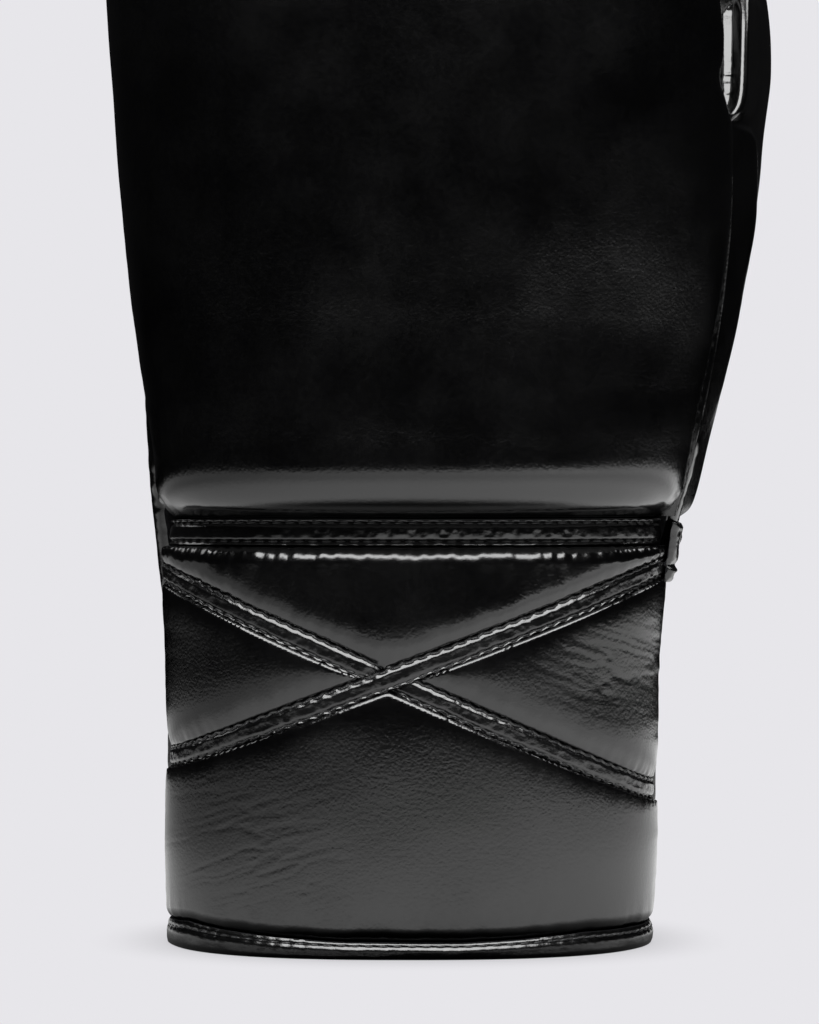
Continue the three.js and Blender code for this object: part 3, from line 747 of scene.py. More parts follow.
@dataclass(frozen=True)
class Thread:
    """Sewing thread and its stitches."""

    pitch: float = 3.2
    length: float = 2.5
    width: float = 0.62
    sunk: float = 0.08

    def sew(self, name: str, form: GloveForm, line: SeamLine, start: float = 0.5) -> bpy.types.Object:
        """Sews a row of stitches along a line, as one piece.

        Args:
            name: The piece's name.
            form: The glove's form.
            line: The line on the leather.
            start: Place of the first stitch, in pitches.

        Returns:
            The row of stitches.
        """
        count = int(line.length() / self.pitch - start)
        points, alongs, outs = line.at((np.arange(count) + start) * self.pitch)
        mesh = bmesh.new()
        size = Matrix.Diagonal((self.length * MM / 2, self.width * MM / 2, self.width * MM / 2, 1.0))
        for point, along, out in zip(form.to_frame(points - outs * self.sunk), alongs, outs):
            side = np.cross(out, along)
            turned = Matrix(np.stack((along, side, np.cross(along, side)), axis=1)).to_4x4()
            matrix = Matrix.Translation(point) @ turned @ size
            bmesh.ops.create_uvsphere(mesh, u_segments=8, v_segments=5, radius=1.0, matrix=matrix)
        piece = scene_object(name, mesh)
        shade(piece)
        return piece


class NodeTree:
    """Short calls to build a tree of shader nodes."""

    def __init__(self, tree: bpy.types.NodeTree) -> None:
        """Keeps the tree.

        Args:
            tree: A material's or a group's node tree.
        """
        self.tree = tree

    def node(self, kind: str, inputs: Optional[dict] = None, **settings: object) -> bpy.types.Node:
        """Adds a node.

        Args:
            kind: The node's type without its leading ShaderNode.
            inputs: Socket names or numbers, with a value or an output socket to link from.
            settings: The node's own settings.

        Returns:
            The node.
        """
        made = self.tree.nodes.new("ShaderNode" + kind)
        for name, value in settings.items():
            setattr(made, name, value)
        for socket, value in (inputs or {}).items():
            if isinstance(value, bpy.types.NodeSocket):
                self.tree.links.new(value, made.inputs[socket])
            else:
                made.inputs[socket].default_value = value
        return made

    def math(self, operation: str, *values: object) -> bpy.types.NodeSocket:
        """Adds a Math node and gives its output."""
        return self.node("Math", dict(enumerate(values)), operation=operation).outputs[0]

    def spread(self, value: bpy.types.NodeSocket, low: float, high: float, to: tuple[float, float]):
        """Maps a value from one span to another, clamped, and gives the output."""
        inputs = {"Value": value, "From Min": low, "From Max": high, "To Min": to[0], "To Max": to[1]}
        return self.node("MapRange", inputs).outputs["Result"]


def shader_group(name: str, inputs: dict[str, tuple[str, object]], outputs: dict[str, str]) -> NodeTree:
    """Makes an empty shader group with its sockets.

    Args:
        name: The group's name.
        inputs: Each input's type and start value.
        outputs: Each output's type.

    Returns:
        The group's tree.
    """
    group = bpy.data.node_groups.new(name, "ShaderNodeTree")
    for socket, (kind, value) in inputs.items():
        made = group.interface.new_socket(socket, in_out="INPUT", socket_type="NodeSocket" + kind)
        if value is not None:
            made.default_value = value
    for socket, kind in outputs.items():
        group.interface.new_socket(socket, in_out="OUTPUT", socket_type="NodeSocket" + kind)
    return NodeTree(group)


def leather_grain_group() -> bpy.types.NodeTree:
    """Builds the grain of smooth leather: fine pebbles, pores and creases.

    Returns:
        The group, which gives a Height from 0 to 1 and a Pores mask.
    """
    sockets = {"Vector": ("Vector", None), "Pebbles": ("Float", 1300.0), "Creases": ("Float", 260.0)}
    tree = shader_group("leather_grain", sockets, {"Height": "Float", "Pores": "Float"})
    entry = tree.tree.nodes.new("NodeGroupInput")
    leave = tree.tree.nodes.new("NodeGroupOutput")
    vector = entry.outputs["Vector"]
    warp = tree.node("TexNoise", {"Vector": vector, "Scale": 420.0, "Detail": 2.0})
    bent = tree.node("VectorMath", {0: warp.outputs["Color"], "Scale": 0.0009}, operation="SCALE")
    moved = tree.node("VectorMath", {0: vector, 1: bent.outputs[0]}, operation="ADD").outputs[0]
    cells = {"Vector": moved, "Scale": entry.outputs["Pebbles"], "Smoothness": 0.35}
    pebbles = tree.node("TexVoronoi", cells, feature="SMOOTH_F1")
    fine = tree.node("TexNoise", {"Vector": moved, "Scale": 2600.0, "Detail": 3.0, "Roughness": 0.6})
    inputs = {"Vector": moved, "Scale": entry.outputs["Creases"], "Detail": 4.0, "Roughness": 0.62}
    broad = tree.node("TexNoise", inputs)
    folded = tree.math("ABSOLUTE", tree.math("SUBTRACT", broad.outputs[0], 0.5))
    crease = tree.spread(folded, 0.0, 0.06, (0.0, 1.0))
    round_ = tree.spread(pebbles.outputs["Distance"], 0.1, 0.75, (1.0, 0.0))
    height = tree.math("MULTIPLY", round_, 0.5)
    height = tree.math("ADD", height, tree.math("MULTIPLY", fine.outputs[0], 0.25))
    height = tree.math("ADD", height, tree.math("MULTIPLY", crease, 0.22))
    tree.tree.links.new(height, leave.inputs["Height"])
    tree.tree.links.new(tree.spread(round_, 0.0, 0.5, (1.0, 0.0)), leave.inputs["Pores"])
    return tree.tree


def wear_group() -> bpy.types.NodeTree:
    """Builds the soft unevenness of a handled finish.

    Returns:
        The group, which gives a Mask from 0 to 1.
    """
    tree = shader_group("soft_wear", {"Vector": ("Vector", None), "Size": ("Float", 45.0)}, {"Mask": "Float"})
    entry = tree.tree.nodes.new("NodeGroupInput")
    leave = tree.tree.nodes.new("NodeGroupOutput")
    vector, size = entry.outputs["Vector"], entry.outputs["Size"]
    broad = tree.node("TexNoise", {"Vector": vector, "Scale": size, "Detail": 4.0, "Roughness": 0.6})
    fine = tree.node("TexNoise", {"Vector": vector, "Scale": 900.0, "Detail": 2.0})
    mixed = tree.math("ADD", tree.math("MULTIPLY", broad.outputs[0], 0.75), tree.math("MULTIPLY", fine.outputs[0], 0.25))
    tree.tree.links.new(tree.spread(mixed, 0.38, 0.62, (0.0, 1.0)), leave.inputs["Mask"])
    return tree.tree


@dataclass(frozen=True)
class LeatherFinish:
    """A finished leather."""

    name: str
    colour: tuple[float, float, float]
    worn_colour: tuple[float, float, float]
    smooth: float
    rough: float
    specular: float
    grain_depth: float
    pebbles: float = 1300.0
    creases: float = 260.0
    coat: float = 0.0

    def material(self, grain: bpy.types.NodeTree, wear: bpy.types.NodeTree) -> bpy.types.Material:
        """Builds the material.

        Args:
            grain: The grain group.
            wear: The wear group.

        Returns:
            The material.
        """
        made = bpy.data.materials.new(self.name)
        made.use_nodes = True
        tree = NodeTree(made.node_tree)
        surface = made.node_tree.nodes["Principled BSDF"]
        place = tree.node("TexCoord").outputs["Object"]
        pattern = tree.node("Group", node_tree=grain)
        made.node_tree.links.new(place, pattern.inputs["Vector"])
        pattern.inputs["Pebbles"].default_value = self.pebbles
        pattern.inputs["Creases"].default_value = self.creases
        handled = tree.node("Group", node_tree=wear)
        made.node_tree.links.new(place, handled.inputs["Vector"])
        mask = handled.outputs["Mask"]
        colours = {"Factor": mask, "A": (*self.colour, 1.0), "B": (*self.worn_colour, 1.0)}
        mixed = tree.node("Mix", data_type="RGBA")
        made.node_tree.links.new(mask, mixed.inputs["Factor"])
        mixed.inputs[6].default_value = colours["A"]
        mixed.inputs[7].default_value = colours["B"]
        made.node_tree.links.new(mixed.outputs[2], surface.inputs["Base Color"])
        roughness = tree.spread(mask, 0.0, 1.0, (self.smooth, self.rough))
        made.node_tree.links.new(roughness, surface.inputs["Roughness"])
        bump = tree.node("Bump", {"Height": pattern.outputs["Height"], "Distance": self.grain_depth, "Strength": 1.0})
        made.node_tree.links.new(bump.outputs["Normal"], surface.inputs["Normal"])
        surface.inputs["Specular IOR Level"].default_value = self.specular
        surface.inputs["Coat Weight"].default_value = self.coat
        surface.inputs["Coat Roughness"].default_value = 0.12
        return made


@dataclass(frozen=True)
class ThreadFinish:
    """Bonded sewing thread."""

    name: str = "black_thread"
    colour: tuple[float, float, float] = (0.012, 0.012, 0.013)

    def material(self) -> bpy.types.Material:
        """Builds the material, with the thread's twist as a fine wave."""
        made = bpy.data.materials.new(self.name)
        made.use_nodes = True
        tree = NodeTree(made.node_tree)
        surface = made.node_tree.nodes["Principled BSDF"]
        place = tree.node("TexCoord").outputs["Object"]
        twist = tree.node("TexWave", {"Vector": place, "Scale": 900.0, "Distortion": 2.0}, bands_direction="DIAGONAL")
        bump = tree.node("Bump", {"Height": twist.outputs["Fac"], "Distance": 0.00006, "Strength": 1.0})
        made.node_tree.links.new(bump.outputs["Normal"], surface.inputs["Normal"])
        shine = tree.spread(twist.outputs["Fac"], 0.0, 1.0, (0.5, 0.36))
        made.node_tree.links.new(shine, surface.inputs["Roughness"])
        surface.inputs["Base Color"].default_value = (*self.colour, 1.0)
        surface.inputs["Specular IOR Level"].default_value = 0.6
        return made


@dataclass(frozen=True)
class MetalFinish:
    """Black enamelled metal with a little bright wear."""

    name: str = "black_metal"
    colour: tuple[float, float, float] = (0.02, 0.02, 0.022)

    def material(self, wear: bpy.types.NodeTree) -> bpy.types.Material:
        """Builds the material from the wear group."""
        made = bpy.data.materials.new(self.name)
        made.use_nodes = True
        tree = NodeTree(made.node_tree)
        surface = made.node_tree.nodes["Principled BSDF"]
        place = tree.node("TexCoord").outputs["Object"]
        handled = tree.node("Group", node_tree=wear)
        made.node_tree.links.new(place, handled.inputs["Vector"])
        handled.inputs["Size"].default_value = 300.0
        roughness = tree.spread(handled.outputs["Mask"], 0.0, 1.0, (0.22, 0.4))
        made.node_tree.links.new(roughness, surface.inputs["Roughness"])
        surface.inputs["Base Color"].default_value = (*self.colour, 1.0)
        surface.inputs["Metallic"].default_value = 0.85
        return made


@dataclass(frozen=True)
class LiningFinish:
    """The brushed cloth that lines the hand's hollow."""

    name: str = "lining_cloth"
    colour: tuple[float, float, float] = (0.016, 0.016, 0.018)

    def material(self) -> bpy.types.Material:
        """Builds the material, with a fine nap as bump."""
        made = bpy.data.materials.new(self.name)
        made.use_nodes = True
        tree = NodeTree(made.node_tree)
        surface = made.node_tree.nodes["Principled BSDF"]
        place = tree.node("TexCoord").outputs["Object"]
        nap = tree.node("TexNoise", {"Vector": place, "Scale": 1600.0, "Detail": 4.0})
        bump = tree.node("Bump", {"Height": nap.outputs[0], "Distance": 0.0002, "Strength": 1.0})
        made.node_tree.links.new(bump.outputs["Normal"], surface.inputs["Normal"])
        shade_ = tree.spread(nap.outputs[0], 0.3, 0.7, (0.8, 0.95))
        made.node_tree.links.new(shade_, surface.inputs["Roughness"])
        surface.inputs["Base Color"].default_value = (*self.colour, 1.0)
        surface.inputs["Specular IOR Level"].default_value = 0.2
        return made


@dataclass
class Workshop:
    """What every sub-assembly needs: the form, the finishes, the folds and the thread."""

    form: GloveForm
    leather: bpy.types.Material
    trim: bpy.types.Material
    metal: bpy.types.Material
    thread_finish: bpy.types.Material
    lining: bpy.types.Material
    thread: Thread = Thread()
    folds: Gathers = field(default_factory=lambda: Gathers(Noise(11)))
    dents: Noise = field(default_factory=lambda: Noise(23))

    def dress(
        self,
        piece: bpy.types.Object,
        slot: Slot,
        replaces: Sequence[str] = (),
        fill: Optional[float] = None,
        finish: Optional[bpy.types.Material] = None,
    ) -> None:
        """Args:
            piece: The piece.
            slot: Its material slot.
            replaces: The frame's nodes that it stands for.
            fill: How full its padding is, if it is padded; not used.
            finish: Another finish than the slot's own.
        """
        own = {Slot.LEATHER: self.leather, Slot.TRIM: self.trim, Slot.METAL: self.metal}[slot]
        piece.data.materials.append(finish or own)
        piece.data.materials.append(self.lining)
        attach(piece, BODY)
        if replaces:
            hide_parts(*replaces)
        LOG.info("%s: %d faces", piece.name, len(piece.data.polygons))

    def sew(self, name: str, line: SeamLine, start: float = 0.5) -> None:
        """Sews and dresses a row of stitches."""
        piece = self.thread.sew(name, self.form, line, start)
        self.dress(piece, Slot.TRIM, finish=self.thread_finish)

    def panel(self, name: str, chart: Chart, height: Array, coarse: int) -> tuple[bpy.types.Object, Array]:
        """Builds a padded panel over the lining.

        Args:
            name: The piece's name.
            chart: The chart of its skin.
            height: Its height above the skin, on the chart's grid.
            coarse: How many outer faces lie over one inner face, each way.

        Returns:
            The panel, and its outer points in the glove's own millimetres.
        """
        outer = chart.lifted(height)
        inner = self.form.lining(chart.place[::coarse, ::coarse], chart.turn[::coarse, ::coarse])
        piece = closed_panel(name, self.form.to_frame(outer), self.form.to_frame(inner))
        return piece, outer


@dataclass
class Mitt:
    """The mitt's two padded panels: the back with the knuckles, and the palm side."""

    shop: Workshop
    back_columns: int = 200
    back_rows: int = 380
    palm_columns: int = 130
    palm_rows: int = 220
    seam_depth: float = 2.6
    wrist_depth: float = 2.6
    seam_reach: float = 7.0
    wrist_reach: float = 4.0
    crown: float = 1.4
    wrist_roll: float = 5.0
    wrist_roll_height: float = 11.0
    palm_crown: float = 0.8
    crotch: float = 189.0
    gusset_depth: float = 7.5
    surfaces: list[Array] = field(default_factory=list)

    def build(self) -> None:
        """Builds and dresses both panels and their stitches."""
        form = self.shop.form
        back = Patch(WRIST, TIP, form.pinky_seam, form.thumb_seam)
        chart = chart_of(form, back, self.back_columns, self.back_rows)
        height = self._back_height(chart)
        piece, outer = self.shop.panel("mitt_back_leather", chart, height, 5)
        self.shop.dress(piece, Slot.LEATHER, ["mitt_back"], fill=0.95)
        self.surfaces.append(outer)
        self._sew_edge("stitches_mitt_back_thumb_side", chart, outer, chart.from_right, 1.1)
        self._sew_edge("stitches_mitt_back_pinky_side", chart, outer, chart.from_left, 1.1)
        palm = Patch(FLAP_TOP, TIP, form.thumb_seam, lambda place: 2 * HALF_TURN + form.pinky_seam(place))
        chart = chart_of(form, palm, self.palm_columns, self.palm_rows)
        height = self._palm_height(chart)
        piece, outer = self.shop.panel("mitt_palm_leather", chart, height, 5)
        self.shop.dress(piece, Slot.LEATHER, ["mitt_palm"], fill=0.85)
        self.surfaces.append(outer)

    def _sew_edge(self, name: str, chart: Chart, outer: Array, away: Array, inset: float) -> None:
        """Sews stitches beside one side edge of a panel.

        Args:
            name: The stitches' name.
            chart: The panel's chart.
            outer: The panel's outer points.
            away: Each point's distance from the edge.
            inset: The distance from the edge to the stitches.
        """
        column = np.abs(away - inset).argmin(axis=1)
        rows = np.arange(4, int(len(outer) * 0.86))
        line = SeamLine(outer[rows, column[rows]], chart.out[rows, column[rows]])
        self.shop.sew(name, line)

    def _back_height(self, chart: Chart) -> Array:
        """Gives the back panel's height above the skin, on the chart's grid."""
        folds, dents = self.shop.folds, self.shop.dents
        up_left = chart.from_low[:, :1] + 0 * chart.from_low
        up_right = chart.from_low[:, -1:] + 0 * chart.from_low
        along_low = chart.from_left[:1] + 0 * chart.from_left
        form = self.shop.form
        level = chart.point[..., 2]
        open_seam = smooth_step(level, self.crotch - 6.0, self.crotch + 4.0)
        thumb_reach = 3.0 + (self.seam_reach - 3.0) * open_seam
        thumb_depth = 0.7 + (self.seam_depth - 0.7) * open_seam
        left_rise = rise(chart.from_left, self.seam_reach)
        right_rise = rise(chart.from_right, thumb_reach)
        sides = left_rise * rise(chart.from_right, self.seam_reach)
        at_side = np.exp(-((np.minimum(chart.from_left, chart.from_right) / 16.0) ** 2))
        sides = sides * (1 - at_side * (1 - smooth_step(level, 112.0, 155.0)))
        low = 1 - np.exp(-chart.from_low / self.wrist_reach)
        to_tip = np.clip((TIP - chart.place) / 2.0, 0.0, 1.0)
        up = np.maximum(level - form.cuff_height, 0.0) / self.wrist_roll_height
        forwards = np.maximum(-chart.point[..., 1] / (form.cuff_depth / 2), 0.0)
        bulge = self.wrist_roll * forwards * np.exp(-(up**3))
        dips = deepest(
            self.seam_depth * (1 - left_rise),
            thumb_depth * (1 - right_rise),
            self.wrist_depth * (1 - low),
        )
        height = self.crown * sides * low + bulge * low - dips
        to_right = smooth_step(chart.point[..., 0], 18.0, 46.0)
        flattened = smooth_step(level, 109.0, 124.0 + 4.0 * to_right)
        flattened = flattened * (1 - smooth_step(level, 125.0 + 7.0 * to_right, 148.0 + 57.0 * to_right))
        height -= (0.45 + 1.05 * to_right) * flattened
        height -= 1.3 * at_side * (1 - smooth_step(level, 106.0, 126.0))
        puckered = np.exp(-(((level - self.crotch - 8.5) / 5.2) ** 2) - (chart.from_right / 7.0) ** 2)
        height -= puckered * (3.5 + 0.5 * dents.at(level / 1.3, chart.from_right / 7.0, octaves=2))
        height += folds.at(up_left, chart.from_left, 0.5, 5.0)
        height += folds.at(up_right + 40, chart.from_right, 0.12, 3.0) * (1 + 3 * open_seam)
        height += folds.at(along_low, chart.from_low, 0.2, 3.5)
        height -= folds.pinch(up_left, chart.from_left - 1.1, 0.35)
        height -= folds.pinch(up_right, chart.from_right - 1.1, 0.3)
        p = chart.point
        height += 0.35 * dents.at(p[..., 0] / 34, p[..., 1] / 34, p[..., 2] / 34, octaves=2) * sides * low
        height += 0.03 * dents.at(p[..., 0] / 6, p[..., 1] / 6, p[..., 2] / 9, octaves=2) * sides * low
        corner = np.exp(-(np.hypot(chart.from_low, chart.from_left) / 11) ** 2)
        corner += np.exp(-(np.hypot(chart.from_low, chart.from_right) / 11) ** 2)
        height += 0.5 * corner * dents.at(chart.from_low / 2.4, chart.across() / 6.0, octaves=2)
        return height * to_tip

    def _palm_height(self, chart: Chart) -> Array:
        """Gives the palm panel's height above the skin, on the chart's grid."""
        folds, dents = self.shop.folds, self.shop.dents
        up_left = chart.from_low[:, :1] + 0 * chart.from_low
        up_right = chart.from_low[:, -1:] + 0 * chart.from_low
        along_low = chart.from_left[:1] + 0 * chart.from_left
        sides = rise(chart.from_left, self.seam_reach) * rise(chart.from_right, self.seam_reach)
        low = rise(chart.from_low, 5.0)
        to_tip = np.clip((TIP - chart.place) / 2.0, 0.0, 1.0)
        dips = deepest(
            self.seam_depth * (1 - rise(chart.from_left, self.seam_reach)),
            self.seam_depth * (1 - rise(chart.from_right, self.seam_reach)),
            self.seam_depth * (1 - low),
        )
        level = chart.point[..., 2]
        at_side = np.exp(-((np.minimum(chart.from_left, chart.from_right) / 16.0) ** 2))
        sides = sides * (1 - at_side * (1 - smooth_step(level, 112.0, 155.0)))
        height = self.palm_crown * sides * low - dips
        gusset = smooth_step(level, self.crotch - 3.0, self.crotch + 9.0)
        gusset = gusset * (1 - smooth_step(level, self.crotch + 40.0, self.crotch + 58.0))
        height -= self.gusset_depth * gusset * (1 - smooth_step(chart.from_left, 15.0, 36.0))
        height += folds.at(up_left + 90, chart.from_left, 0.5, 5.0)
        height += folds.at(up_right + 130, chart.from_right, 0.5, 5.0)
        height += folds.at(along_low + 30, chart.from_low, 0.3, 3.5)
        p = chart.point
        bent = dents.at(p[..., 0] / 30, p[..., 2] / 7, p[..., 1] / 30, octaves=2)
        creases = -np.exp(-((bent / 0.16) ** 2))
        palm_middle = np.exp(-((chart.across() / 42) ** 2))
        height += 0.55 * creases * palm_middle * sides * low
        height += 0.4 * dents.at(p[..., 0] / 25, p[..., 1] / 25, p[..., 2] / 25, octaves=2) * sides * low
        return height * to_tip


def blocked_by(surfaces: Sequence[Array]) -> BVHTree:
    """Makes a search tree of grids of points.

    Args:
        surfaces: Grids of points in the glove's own millimetres, with their outside in front.

    Returns:
        The search tree.
    """
    corners, faces = [], []
    for grid in surfaces:
        rows, columns = grid.shape[:2]
        start = len(corners)
        corners.extend(map(tuple, grid.reshape(-1, 3)))
        index = start + np.arange(rows * columns).reshape(rows, columns)
        quads = np.stack((index[:-1, :-1], index[:-1, 1:], index[1:, 1:], index[1:, :-1]), axis=-1)
        faces.extend(quads.reshape(-1, 4).tolist())
    return BVHTree.FromPolygons(corners, faces)


@dataclass
class ThumbPiece:
    """The padded thumb, sewn flush along the back panel's seam up to the crotch."""

    shop: Workshop
    surfaces: Sequence[Array]
    around: int = 320
    rings: int = 260
    crotch: float = 189.0
    seam_radius: float = 7.0
    lip_radius: float = 1.9
    lip_in: float = 1.9
    lip_out: float = 4.0
    lean: float = 0.7
    gusset_drop: float = 2.2
    clearance: float = 0.35

    def build(self) -> None:
        """Builds and dresses the thumb."""
        form = self.shop.form
        rings = self._rings()
        tree = blocked_by([self.surfaces[1][::2, ::2]])
        flat = rings.reshape(-1, 3)
        for i, point in enumerate(flat):
            place, normal, _, distance = tree.find_nearest(Vector(point))
            if place is None or distance > 34.0:
                continue
            height = (Vector(point) - place).dot(normal)
            if height < self.clearance:
                flat[i] = place + normal * self.clearance
        rings = flat.reshape(rings.shape)
        rings[0] = rings[0].mean(axis=0)
        rings[-1] = rings[-1].mean(axis=0)
        piece = closed_tube("thumb_leather", form.to_frame(rings))
        self.shop.dress(piece, Slot.LEATHER, ["thumb"], fill=0.9)

    def _seam_at(self, heights: Array) -> tuple[Array, Array]:
        """Gives the back panel's thumb seam at the given heights.

        Args:
            heights: Heights above the floor.

        Returns:
            Level points of the seam and level directions out of the leather.
        """
        form = self.shop.form
        places = np.linspace(WRIST - 0.2, WRIST + 10, 600)
        turns = form.thumb_seam(places)
        line = form.on_skin(places, turns, np.full(places.shape, -0.3))
        out = form.outwards(places, turns)
        columns = [np.interp(heights, line[:, 2], values[:, k]) for values in (line, out) for k in range(2)]
        points, ways = np.stack(columns[:2], axis=-1), np.stack(columns[2:], axis=-1)
        return points, ways / np.linalg.norm(ways, axis=-1, keepdims=True)

    def _reach(self, angles: Array, centre: Array, shapes: Sequence[tuple[Array, Array]]) -> Array:
        """Gives how far the tight outline round some discs reaches from a centre.

        Args:
            angles: The directions.
            centre: The centre, one for each ring.
            shapes: Each disc's middle, one for each ring, and its two radii, one pair a ring.

        Returns:
            The reach, rings by directions.
        """
        probe = np.linspace(0, 2 * math.pi, 721)[:-1]
        ways = np.stack((np.cos(probe), np.sin(probe)), axis=-1)
        support = np.full((len(centre), len(probe)), -1e9)
        for middle, radii in shapes:
            offset = (middle - centre) @ ways.T
            size = np.sqrt((radii[:, :1] * ways[:, 0]) ** 2 + (radii[:, 1:] * ways[:, 1]) ** 2)
            support = np.maximum(support, offset + size)
        facing = np.cos(angles[:, None] - probe[None])
        reach = np.empty((len(centre), len(angles)))
        for i, row in enumerate(support):
            reach[i] = np.where(facing > 0.02, row / np.maximum(facing, 0.02), 1e9).min(axis=1)
        return reach

    def _levels(self) -> Array:
        """Gives each ring's place in the table, closer together at the crotch and at both ends."""
        fine = np.linspace(0, 1, 4001)
        z = self.shop.form.cuff_height + fine * self.shop.form.thumb_reach
        weight = 0.7 + 2.2 * np.exp(-(((z - self.crotch - 9.0) / 14.0) ** 2))
        weight += 3.0 * np.exp(-fine / 0.012) + 3.0 * np.exp(-(1 - fine) / 0.03)
        total = np.concatenate(([0.0], np.cumsum(0.5 * (weight[1:] + weight[:-1]))))
        shares = np.interp(np.linspace(0, total[-1], self.rings + 1), total, fine)
        heights = np.array([ring.z for ring in THUMB_RINGS])
        rows = np.linspace(0, len(heights) - 1, 4001)
        return np.interp(heights[0] + shares * (heights[-1] - heights[0]), smooth_rows(heights, rows), rows)

    def _rings(self) -> Array:
        """Gives the thumb's rings in the glove's own millimetres."""
        form, dents = self.shop.form, self.shop.dents
        place = self._levels()
        share = place / (len(THUMB_RINGS) - 1)
        column = {
            name: smooth_rows(np.array([getattr(ring, name) for ring in THUMB_RINGS]), place)
            for name in Ring._fields
        }
        z = form.cuff_height + column["z"] * form.thumb_reach
        centre = np.stack((column["x"] * form.mitt_width, column["y"] * form.mitt_depth), axis=-1)
        radii = np.stack((column["across"], column["along"]), axis=-1) * form.thumb_thickness
        end = np.sqrt(np.clip(1 - ((share - 0.985) / 0.015).clip(0, 1) ** 2, 0, 1))
        start = np.sqrt(np.clip(1 - ((0.01 - share) / 0.01).clip(0, 1) ** 2, 0, 1))
        closing = (end * start)[:, None]
        radii[:, 0] += 1.5 * smooth_step(z, 185, 207) * (1 - smooth_step(z, 225, 245))
        radii = radii * closing
        seam, out = self._seam_at(z)
        lower = smooth_step(z, form.cuff_height, form.cuff_height + 12)[:, None]
        base_radius = 9.3 + 1.7 * smooth_step(z, 118, 150)[:, None]
        inset = 3.7 + 1.8 * (1 - smooth_step(z, 150, 170)) + 1.8 * (1 - smooth_step(z, 108, 130))
        base = seam + np.stack((-inset, np.full(z.shape, 14.5)), axis=-1)
        base_radii = np.repeat(base_radius * lower * closing, 2, axis=1)
        seam_radii = np.full(radii.shape, self.seam_radius) * closing
        angles = np.linspace(-math.pi, math.pi, 1441)
        body = (centre, radii)
        whole = self._reach(angles, centre, [body, (base, base_radii), (seam - out * self.seam_radius, seam_radii)])
        above = np.maximum(z - self.crotch, 0.0)
        start_x = np.interp(self.crotch, z, seam[:, 0]) - self.lip_in
        lip_x = start_x + self.lip_out * (1 - np.exp(-above / 2.2)) + 0.065 * above
        lip = np.stack((lip_x, seam[:, 1] + self.lean * above + 0.8), axis=-1)
        merged = smooth_step(z, self.crotch + 30, self.crotch + 52)[:, None]
        lip = lip + (centre - lip) * merged
        lip_radii = np.full(radii.shape, self.lip_radius) * closing
        open_ = self._reach(angles, centre, [body, (lip, lip_radii)])
        to_lip = lip - centre
        lip_angle = np.arctan2(to_lip[:, 1], to_lip[:, 0])[:, None]
        turned = np.abs((angles[None] - lip_angle + math.pi) % (2 * math.pi) - math.pi)
        soft = 2.0 + 20.0 * smooth_step(turned, 0.12, 0.7)
        split = smooth_step(z[:, None], self.crotch - soft, self.crotch + soft)
        reach = whole * (1 - split) + open_ * split
        reach = self._carve(reach, angles, z, centre, lip, seam)
        ahead = np.stack((out[:, 1], -out[:, 0]), axis=-1)
        behind = np.einsum("ij,ij->i", seam - centre, ahead)[:, None] - 0.15
        behind = behind + 90.0 * smooth_step(z, self.crotch + 24, self.crotch + 44)[:, None]
        towards = ahead[:, :1] * np.cos(angles) + ahead[:, 1:] * np.sin(angles)
        limit = np.where(towards > 0.02, behind / np.maximum(towards, 0.02), 1e9)
        reach = np.clip(np.minimum(reach, limit), 0.01, None) * closing
        outline = centre[:, None, :] + reach[..., None] * np.stack((np.cos(angles), np.sin(angles)), -1)
        steps = np.linspace(0, 1, self.around + 1)[:-1]
        ring = np.empty((len(z), self.around, 2))
        for i, line in enumerate(outline):
            near = np.linalg.norm(line - lip[i], axis=-1)
            stride = np.linalg.norm(np.diff(line, axis=0), axis=-1) * (1 + 2.2 * np.exp(-((near[1:] / 9.0) ** 2)))
            gone = np.concatenate(([0.0], np.cumsum(stride)))
            for k in range(2):
                ring[i, :, k] = np.interp(steps * gone[-1], gone, line[:, k])
        tangent = np.roll(ring, -1, axis=1) - np.roll(ring, 1, axis=1)
        facing = np.stack((tangent[..., 1], -tangent[..., 0]), axis=-1)
        facing /= np.maximum(np.linalg.norm(facing, axis=-1, keepdims=True), 1e-9)
        level = np.repeat(z[:, None], self.around, axis=1)
        height = 0.25 * dents.at(ring[..., 0] / 22, ring[..., 1] / 22, level / 22, octaves=2) * closing
        ring = ring + facing * height[..., None]
        return np.concatenate((ring, level[..., None]), axis=-1)

    def _carve(self, reach: Array, angles: Array, z: Array, centre: Array, lip: Array, seam: Array) -> Array:
        """Carves the leaning gusset between the back panel's seam and the thumb's lip.

        Args:
            reach: The thumb's reach from its centre, rings by directions.
            angles: The directions.
            z: The rings' heights.
            centre: The rings' centres.
            lip: The lip's middle in each ring.
            seam: The seam in each ring.

        Returns:
            The carved reach.
        """
        dents = self.shop.dents
        above = z - self.crotch
        depth = seam[:, 1] + self.gusset_drop + self.lean * np.clip(above, 0.0, 27.0)
        ahead = np.minimum(np.sin(angles), -0.2)[None]
        flat = (depth - centre[:, 1])[:, None] / ahead
        across = centre[:, :1] + flat * np.cos(angles)[None]
        wrinkles = dents.at(z[:, None] / 0.9, across / 5.0, octaves=2)
        wrinkled = np.exp(-(((above - 9.0) / 5.0) ** 2))[:, None]
        flat = flat + (0.3 * wrinkled + 0.01) * wrinkles
        edge = lip[:, 0] - self.lip_radius * 0.8
        beside = 1 - smooth_step(across - edge[:, None], -0.4, 0.5)
        beside = beside * (np.sin(angles)[None] < -0.25)
        cut = smooth_step(above, 0.0, 3.0) * (1 - smooth_step(above, 30.0, 52.0))
        lowered = np.minimum(reach, np.maximum(flat, 6.0))
        return reach + (lowered - reach) * beside * cut[:, None]


